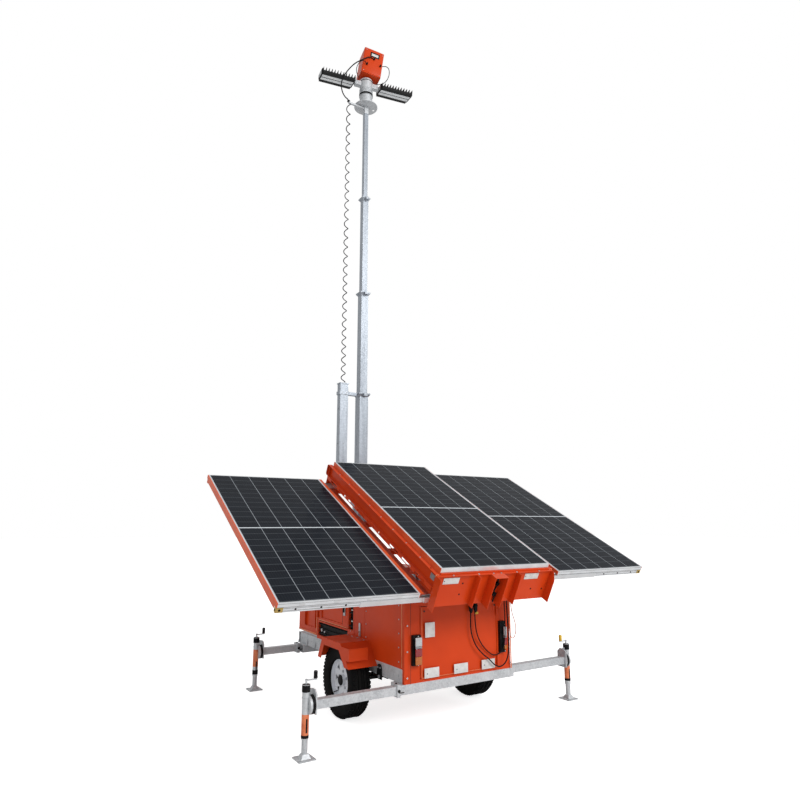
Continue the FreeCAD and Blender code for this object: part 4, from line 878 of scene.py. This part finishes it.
def side_fittings():
    """Latches, folds and edge strips on the left and right walls; the pale folds and edge strips are painted
    highlights, the dark line at the door painted shade.
    """
    for word, side in SIDES:
        out = (side, 0, 0)
        trim = Piece((side * WALL, 0, 0))
        # the pale orange strips are painted highlights on the bay's lit bottom fold and on lit edges; the others
        # are real parts
        for finish, y0, y1, z0, z1, proud, soft in (
            ("orange_label_and_edge_highlight", 0.331, 0.785, 0.536, 0.552, 0.006, 0.002),
            ("orange_label_and_edge_highlight", 0.331, 0.345, 0.552, 1.19, 0.004, 0.0008),
            ("orange_label_and_edge_highlight", -1.30, -1.29, 0.52, 1.165, 0.002, 0.0008),
            ("orange_paint", 0.622, 0.640, 0.60, 1.165, 0.010, 0.003),
            ("orange_paint", 0.366, 0.384, 0.60, 1.165, 0.010, 0.003),
            ("orange_paint", -0.60, -0.50, 0.545, 0.60, 0.004, 0.001),
            ("zinc_bolt", 0.445, 0.520, 0.905, 0.955, 0.006, 0.002),
            ("zinc_bolt", -0.604, -0.578, 0.66, 0.775, 0.012, 0.003),
        ):
            trim.paint(finish).box(0, side * proud, y0, y1, z0, z1, soft)
        trim.bolts([(side * 0.006, y, 0.93) for y in (0.46, 0.505)], out, 0.0045)
        trim.bolts([(0, y, 0.56 + n * 0.11) for y in (-1.25, -0.70) for n in range(6)], out, 0.005)
        trim.bolts([(0, -0.405, z) for z in (0.68, 1.06)], out, 0.0045)
        trim.paint("black_plastic").dot((side * 0.011, -0.591, 0.70), (side * 0.003, 0, 0), 0.006)
        trim.done("side_trim_" + word, "trailer")

        door = Piece((side * WALL, 0, 0))
        door.paint("zinc_bolt").box(0, side * 0.010, -0.300, -0.262, 0.80, 0.94, 0.003)
        door.paint("black_plastic").box(side * 0.010, side * 0.022, -0.292, -0.270, 0.83, 0.91, 0.004)
        # painted highlight: a pale line along the door's fold
        door.paint("orange_label_and_edge_highlight").box(0, side * 0.0012, -0.342, 0.304, 0.691, 0.699, 0.0005)
        # painted shade: a dark line in the door's seam
        door.paint("painted_gap_shade").box(0, side * 0.0005, -0.24, -0.235, 0.715, 1.02)
        door.done("door_latch_" + word, "door_" + word)


def vent_fittings():
    """The white marks and pipe ends inside the low openings."""
    inside = Piece()
    for _, side in SIDES:
        x = side * (WALL - 0.010)
        inside.paint("white_plate")
        for y in (-0.28, -0.25):
            inside.box(x, x + side * 0.004, y - 0.008, y + 0.008, 0.586, 0.614, 0.001)
        for z in (0.76, 0.86, 0.96):
            inside.box(x, x + side * 0.003, -0.43, -0.40, z, z + 0.012, 0.0008)
        inside.paint("zinc_bolt").dot((x, 0.22, 0.60), (side * 0.012, 0, 0), 0.016, sides=20, soft=0.002)
        inside.dot((x, 0.16, 0.59), (side * 0.010, 0, 0), 0.011, sides=20, soft=0.002)
    inside.done("vent_fittings", "trailer")


TYRE_HALF = ((0.064, 0.176), (0.078, 0.180), (0.086, 0.196), (0.0915, 0.222), (0.0920, 0.246), (0.0895, 0.268),
             (0.0845, 0.284), (0.0760, 0.2955), (0.0640, 0.3025), (0.0480, 0.3060), (0.0455, 0.3000),
             (0.0385, 0.3000), (0.0360, 0.3070), (0.0160, 0.3085), (0.0135, 0.3015), (0.0065, 0.3015),
             (0.0040, 0.3090))
TYRE_BEAD = (0.064, 0.172)
LUGS, LUG_SIZE, LUG_SHIFT = 56, (0.030, 0.021, 0.010, 1.0), 0.028
LUG_OUT, LUG_ACROSS, LUG_LEAN = 0.3005, 0.070, 0.5


def wheels():
    """Tyres with shoulder lugs and grooves, and the rims' bolts and caps, with a black disc of painted shade
    behind each rim so that its holes look dark.
    """
    for word, side in SIDES:
        hub, out = joints["wheel_%s_spin" % word]["pos_m"], (side, 0, 0)
        tyre = Piece(hub)
        bead = [TYRE_BEAD, (-TYRE_BEAD[0], TYRE_BEAD[1])]
        outline = [(-along, radius) for along, radius in TYRE_HALF] + list(TYRE_HALF[::-1]) + bead
        tyre.paint("tyre_rubber").turned(outline, axis=(1, 0, 0), sides=112, closed=True)
        for k in range(LUGS):
            for lean in (-1, 1):
                turn = 2 * math.pi * k / LUGS + (LUG_SHIFT if lean > 0 else 0.0)
                tyre.block(Matrix.Rotation(turn, 4, "X") @ Matrix.Translation((lean * LUG_ACROSS, 0, LUG_OUT))
                           @ Matrix.Rotation(lean * LUG_LEAN, 4, "Y") @ Matrix.Diagonal(LUG_SIZE), 0.002, 1)
        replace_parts(tyre.done("tyre_tread_" + word, "wheel_" + word), "tyre_" + word)

        trim = Piece(hub)
        trim.paint("zinc_bolt").bolts([(side * 0.030, 0.070 * sin, 0.070 * cos) for cos, sin in on_circle(5)],
                                      out, 0.010)
        # painted shade: a black disc behind the rim's disc that darkens its holes
        trim.paint("black_plastic").dot((side * 0.013, 0, 0), (side * 0.004, 0, 0), 0.158, sides=56)
        trim.turned(((0.052, 0.046), (0.058, 0.044), (0.064, 0.036), (0.067, 0.018), (0.068, 0.004)),
                    axis=out, sides=32)
        trim.dot((side * 0.030, 0.1, -0.11), (side * 0.035, 0.008, -0.008), 0.004, sides=10)
        trim.done("rim_bolts_" + word, "wheel_" + word)


JACKS = (
    # name, side, y, jack x, orange label from and to, black band from and to, grip finish
    ("rear_left", -1, -1.2955, 1.400, (0.163, 0.303), (0.143, 0.163), "black_plastic"),
    ("rear_right", 1, -1.2205, 1.400, (0.190, 0.330), (0.168, 0.190), "yellow_plastic"),
    ("front_left", -1, 0.705, 1.073, (0.224, 0.388), (0.150, 0.191), "black_plastic"),
    ("front_right", 1, 0.630, 1.073, (0.224, 0.388), (0.150, 0.191), "black_plastic"),
)
JACK_TUBE, DRUM_Z = 0.0265, 0.362


def jacks():
    """Paint bands, grips, pins and foot bolts of the four corner jacks."""
    for name, side, y, reach, label, black, grip in JACKS:
        place, way = (side * reach, y, 0), -side
        inward = (way, 0, 0)
        jack = Piece(place)
        for finish, ends, radius in (("orange_label_and_edge_highlight", label, 0.0276), ("black_plastic", black, 0.0285)):
            low, high = ends
            jack.paint(finish).turned(((low, JACK_TUBE), (low, radius), (high, radius), (high, JACK_TUBE)),
                                      sides=40)
        jack.paint("zinc_bolt").turned(((0.4105, JACK_TUBE), (0.4115, 0.0295), (0.4175, 0.0295),
                                        (0.4185, JACK_TUBE)), sides=40)
        jack.paint("black_plastic").box(-0.006, 0.006, -0.0295, -0.024, 0.180, 0.275, 0.001)
        jack.turned(((0.4535, 0.0270), (0.4545, 0.0308), (0.4700, 0.0308), (0.5000, 0.0306), (0.5060, 0.0285),
                     (0.5065, 0.0090)), sides=40)
        jack.turned(((0.0, 0.060), (0.001, 0.0668), (0.010, 0.0674), (0.014, 0.0668), (0.0262, 0.0668),
                     (0.0265, 0.060)), (min(way * 0.0562, way * 0.0297), 0, DRUM_Z), (1, 0, 0))
        jack.paint(grip).turned(((0.538, 0.0125), (0.540, 0.0148), (0.546, 0.0156), (0.560, 0.0142),
                                 (0.575, 0.0152), (0.586, 0.0150), (0.5925, 0.0120), (0.5945, 0.0040)),
                                (way * 0.074, 0, 0), sides=28)
        jack.paint("zinc_bolt").dot((0, 0, 0.505), (0, 0, 0.007), 0.014, sides=6, soft=0.001)
        jack.dot((0, 0, 0.535), (0, 0, 0.007), 0.009, sides=6, soft=0.001)
        jack.dot((way * 0.012, -0.0005, 0.5325), (way * 0.062, 0, 0), 0.0052, sides=12)
        jack.bolts([(way * 0.0585, 0.052 * cos, DRUM_Z + 0.052 * sin) for cos, sin in on_circle(4, 45)],
                   inward, 0.0055)
        jack.dot((way * 0.035, 0, 0.428), (0, 0, 0.034), 0.005, sides=12, soft=0.001)
        jack.turned(((0.0, 0.009), (0.004, 0.011), (0.010, 0.011), (0.013, 0.006)),
                    (way * 0.035, 0, 0.462), sides=20)
        jack.done("jack_trim_" + name, "jack_" + name)

        foot = Piece(place)
        foot.paint("zinc_bolt").bolts([(x, y, 0.008) for x in (-0.052, 0.052) for y in (-0.052, 0.052)], UP, 0.006)
        foot.done("foot_bolts_" + name, "leg_" + name)

        arm = Piece(place)
        arm.paint("zinc_bolt").bolts([(way * 0.0672, y, z) for y in (-0.042, 0.042) for z in (0.312, 0.430)],
                                     inward, 0.006)
        arm.done("arm_bolts_" + name, "arm_" + name)

        clamp = Piece((side * 0.620, y, 0))
        clamp.paint("black_metal").bolt((0, -0.0475, DRUM_Z), BACK, 0.010).bolt((0, 0, 0.4095), UP, 0.008)
        # painted shade: a dark line in the gap at the clamp
        clamp.paint("painted_gap_shade").box(0, -side * 0.05, -0.0478, -0.0470, 0.345, 0.352)
        clamp.done("clamp_bolts_" + name, "trailer")


COLLARS = (
    # body, top and width of each mast section that carries another
    ("trailer", 1.903, 0.130), ("mast_2", 3.155, 0.110), ("mast_3", 4.407, 0.092), ("mast_4", 5.659, 0.072),
)


def mast_fittings():
    """Guide pads and clamp bolts on every collar; ribs under the lowest, where no collar comes down."""
    for number, (body, top, width) in enumerate(COLLARS, 1):
        half = width / 2
        rim = half + 0.020
        edge = rim - 0.01
        fit = Piece((0, MAST[1], top))
        fit.paint("zinc_bolt").bolts([(x, -rim - 0.0262, -0.021) for x in (-0.013, 0.013)], BACK, 0.0065)
        for side in (-1, 1):
            fit.bolts([(side * rim, y, -0.006) for y in (-half * 0.5, half * 0.5)], (side, 0, 0), 0.0045)
        fit.bolts([(x, y, 0) for x in (-edge, edge) for y in (-edge, edge)], UP, 0.005)
        if body == "trailer":
            fit.paint("mast_zinc")
            for side in (-1, 1):
                fit.prism(((side * half, -0.004, -0.125), (side * (half + 0.014), -0.004, -0.045),
                           (side * half, -0.004, -0.045)), (0, 0.008, 0))
            fit.prism(((-0.004, -half, -0.125), (-0.004, -half - 0.014, -0.045), (-0.004, -half, -0.045)),
                      (0.008, 0, 0))
        fit.paint("black_plastic")
        for x in (0.006 - half, half - 0.006):
            fit.box(x - 0.006, x + 0.006, 0.006 - rim, 0.012 - rim, -0.001, 0.0015)
        fit.done("collar_fittings_%d" % number, body)


def post_fittings():
    """The cable post's clamp bolts, drain holes drawn as dark dots of painted shade, seam and brackets."""
    half_x, half_y = 0.050, 0.0375
    post = Piece((POST_X, MAST[1], 0))
    post.paint("zinc_bolt")
    post.bolts([(x, -half_y - 0.008, z) for z in (3.127, 3.143) for x in (-0.03, 0.03)], BACK, 0.005)
    post.bolts([(x, 0, 3.155) for x in (0.105, 0.135, 0.165)], UP, 0.005)
    # painted shade: dark dots for the drain holes
    post.paint("painted_gap_shade")
    for z in (2.16, 2.55, 2.95):
        post.dot((0, 0.0005 - half_y, z), (0, -0.0013, 0), 0.006)
        post.dot((0.0005 - half_x, 0, z), (-0.0013, 0, 0), 0.006)
    post.paint("mast_zinc").box(-0.0025, 0.0025, -half_y - 0.0012, -half_y, 2.106, 3.11, 0.0005)
    post.done("post_fittings", "mast_2")


def head_fittings():
    """Glands, seams, lid screws and blank label places of the control box on the head."""
    box = Piece(BOX_FOOT, HEAD @ about((0.024, MAST[1], 7.330), (0, 1, 0), 7.5))
    box.paint("orange_paint").box(-0.1225, 0.1225, -0.0022, 0.001, 0.012, 0.358, 0.001)
    box.paint("black_plastic").box(-0.052, 0.072, -0.0034, -0.002, 0.258, 0.330, 0.0006)
    box.paint("white_plate").box(-0.036, 0.056, -0.0042, -0.003, 0.276, 0.312, 0.0005)
    box.paint("zinc_bolt")
    box.bolts([(x, -0.0022, z) for x in (-0.1105, 0.1105) for z in (0.026, 0.344)], BACK, 0.0045)
    box.paint("black_plastic")
    for x, z in ((0.006, 0.231), (-0.079, 0.124), (0.101, 0.166)):
        box.dot((x, 0, z), (0, -0.022, 0), 0.013, sides=6, soft=0.001)
        box.dot((x, -0.020, z), (0, -0.012, 0), 0.010, sides=20, tip=0.007)
    box.done("box_fittings", "head")

    neck = Piece(MAST_FOOT, HEAD)
    neck.paint("black_plastic")
    neck.turned(((7.300, 0.0815), (7.3005, 0.0835), (7.3085, 0.0835), (7.309, 0.0815)), sides=56)
    neck.paint("zinc_bolt")
    for cos, sin in on_circle(6, 15):
        neck.bolt((0.0815 * cos, 0.0815 * sin, 7.315), (cos, sin, 0), 0.0045)
    for x in (-0.14, -0.10, 0.10, 0.14):
        neck.bolt((x, -0.03, 7.27), BACK, 0.006).bolt((x, 0, 7.30), UP, 0.006)
    neck.done("neck_fittings", "head")

    plate = Piece(MAST_FOOT)
    plate.paint("black_plastic")
    plate.turned(((7.098, 0.0875), (7.100, 0.0888), (7.126, 0.0888), (7.128, 0.0875)), sides=64)
    plate.paint("zinc_bolt").bolts([(0.120 * cos, 0.120 * sin, 6.955) for cos, sin in on_circle(8, 22)], UP, 0.006)
    plate.paint("black_plastic").dot((POST_X, 0, 6.934), (0, 0, 0.018), 0.019, sides=6, soft=0.001)
    plate.done("plate_fittings", "mast_5")


def lamp_fittings():
    """Lenses under the floodlights, end caps, yokes and screws."""
    for word, side in SIDES:
        lamp = Piece(LAMP_CENTRE, LAMPS)
        x0, x1 = side * 0.190, side * 0.596
        for mid in (-0.0365, 0.0365):
            lamp.paint("light_lens").box(x0, x1, mid - 0.0262, mid + 0.0262, -0.0352, -0.0328, 0.001)
            lamp.paint("galvanised")
            for edge in (-0.0285, 0.0275):
                lamp.box(x0, x1, mid + edge, mid + edge + 0.0016, -0.0345, -0.0090, 0.0004)
            lamp.paint("black_plastic")
            for x in (0.1840, 0.6000):
                lamp.box(side * x, side * (x + 0.013), mid - 0.0270, mid + 0.0270, 0.004, 0.0275, 0.002)
            lamp.paint("black_metal").box(x0, x1, mid - 0.021, mid + 0.021, -0.0075, 0.0265, 0.002)
        lamp.paint("black_plastic").box(x0, x1, -0.0068, 0.0068, -0.0320, -0.0120, 0.001)
        lamp.paint("galvanised")
        for x in (0.1725, 0.6125):
            lamp.box(side * x, side * (x + 0.0018), -0.066, 0.066, -0.027, 0.0268, 0.0004)
        lamp.paint("zinc_bolt")
        for x, way in ((0.1725, -side), (0.614, side)):
            lamp.bolts([(side * x, y, -0.012) for y in (-0.050, -0.020, 0.020, 0.050)], (way, 0, 0), 0.0045)
        lamp.turned(((0.0, 0.017), (0.002, 0.024), (0.008, 0.024), (0.010, 0.017)),
                    (side * 0.158, 0, 0), (side, 0, 0), 28)
        lamp.done("lamp_fittings_" + word, "lamp_" + word)


def drawbar_fittings():
    """The coupling's bolts, its lever's grip and bolts on the drawbar."""
    nose = Piece()
    nose.paint("zinc_bolt")
    for y in (1.66, 1.72):
        nose.bolt((0, y, 0.4595), UP, 0.009)
        for side in (-1, 1):
            nose.bolt((side * 0.0305, y, 0.4395), (side, 0, 0))
    nose.paint("black_plastic").box(-0.0165, 0.0165, 1.648, 1.700, 0.4985, 0.5125, 0.003)
    nose.paint("galvanised")
    nose.bolts([(side * x, y, 0.4795) for side in (-1, 1) for x, y in ((0.42, 0.95), (0.20, 1.35))])
    nose.done("coupling_fittings", "trailer")


def chassis_fittings():
    """Spring pins, axle clamps, mudguard bolts and rail gussets."""
    low = Piece()
    low.paint("zinc_bolt")
    for side in (-1, 1):
        out = (side, 0, 0)
        for y in (-0.9465, -0.2195):
            low.bolt((side * 0.573, y, 0.389), out, 0.011)
            low.bolts([(side * 0.573, y + dy, 0.462) for dy in (-0.02, 0.02)], out, 0.007)
        low.bolts([(side * 0.60, y, 0.6505) for y in (-0.72, -0.60, -0.50, -0.42)], UP, 0.006)
        low.bolts([(side * 0.565, y, 0.455) for y in (-1.25, -0.15, 0.15, 0.45, 0.70)], out, 0.0065)
        for y in (-0.63, -0.536):
            for dx in (-0.028, 0.028):
                low.dot((side * 0.535 + dx, y, 0.405), (0, 0, 0.017), 0.007, sides=6, soft=0.001)
    low.paint("galvanised")
    for side in (-1, 1):
        for y in (0.35, 0.55, 0.76):
            low.prism([(side * x, y - 0.003, z) for x, z in ((0.565, 0.405), (0.585, 0.405), (0.565, 0.480))],
                      (0, 0.006, 0))
    low.done("chassis_fittings", "trailer")


def battery_fittings(columns=3, rows=6, seam=0.006, lid=0.008):
    """Case lids and terminals on the battery block."""
    low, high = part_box("battery_block")
    wide, long = (high[0] - low[0]) / columns, (high[1] - low[1]) / rows
    cells = Piece((low[0], low[1], high[2]))
    for i in range(columns):
        for k in range(rows):
            x, y = wide * (i + 0.5), long * (k + 0.5)
            cells.paint("battery_case").box(wide * i + seam, wide * (i + 1) - seam, long * k + seam,
                                            long * (k + 1) - seam, 0, lid, 0.003)
            cells.paint("zinc_bolt").bolts([(x + dx, y, lid) for dx in (-wide * 0.32, wide * 0.32)])
    cells.done("battery_lids", "trailer")


for make in (solar_array, skirt_fittings, inner_wiring, rear_face, hanging_connectors, side_fittings,
             vent_fittings, wheels, jacks, mast_fittings, post_fittings, head_fittings, lamp_fittings,
             drawbar_fittings, chassis_fittings, battery_fittings):
    make()


# ---- the studio

FLOOR_HALF, FLOOR_LIFT = 60.0, 0.75
WHITE = (1.0, 1.0, 1.0, 1.0)
LIGHTS = (("key", (3.0, -14.0, 9.0), 6.0, 1250.0), ("fill", (-10.0, -3.0, 6.0), 8.0, 60.0))


def studio():
    """A pale floor that stays white to the camera and keeps the tower's shadow, and soft plain lights."""
    corners = [(x * FLOOR_HALF, y * FLOOR_HALF, 0) for x, y in ((-1, -1), (1, -1), (1, 1), (-1, 1))]
    floor = placed("floor", flat_mesh("floor", corners))
    pale = Finish("floor_white", Roughness=0.9, IOR=1.2, Base_Color=(0.80, 0.80, 0.80, 1.0))
    lift = pale.add("LightPath", out="Is Camera Ray") * FLOOR_LIFT
    glow = pale.add("Emission", {"Color": WHITE, "Strength": lift})
    both = pale.add("AddShader", {0: Value(pale, pale.shader.outputs[0]), 1: glow})
    pale.put(pale.tree.nodes["Material Output"].inputs["Surface"], both)
    floor.data.materials.append(FINISHES["floor_white"])
    world = bpy.context.scene.world = bpy.data.worlds.new("surround")
    world.use_nodes = True
    sky = Nodes(world.node_tree)
    back = sky.tree.nodes["Background"]
    seen = sky.math("MAXIMUM", sky.add("LightPath", out="Is Camera Ray"),
                    sky.add("LightPath", out="Is Transmission Ray"))
    sky.put(back.inputs["Color"], WHITE)
    sky.put(back.inputs["Strength"], sky.add("MapRange", {"Value": seen, "To Min": 0.62, "To Max": 1.0}))
    for name, place, size, power in LIGHTS:
        data = bpy.data.lights.new(name, "AREA")
        data.size = size
        data.energy = power
        lamp = placed(name, data)
        lamp.location = place
        lamp.rotation_euler = (Vector((0.0, 0.0, 2.0)) - lamp.location).to_track_quat("-Z", "Y").to_euler()
    bpy.context.scene.view_settings.view_transform = "Standard"


studio()
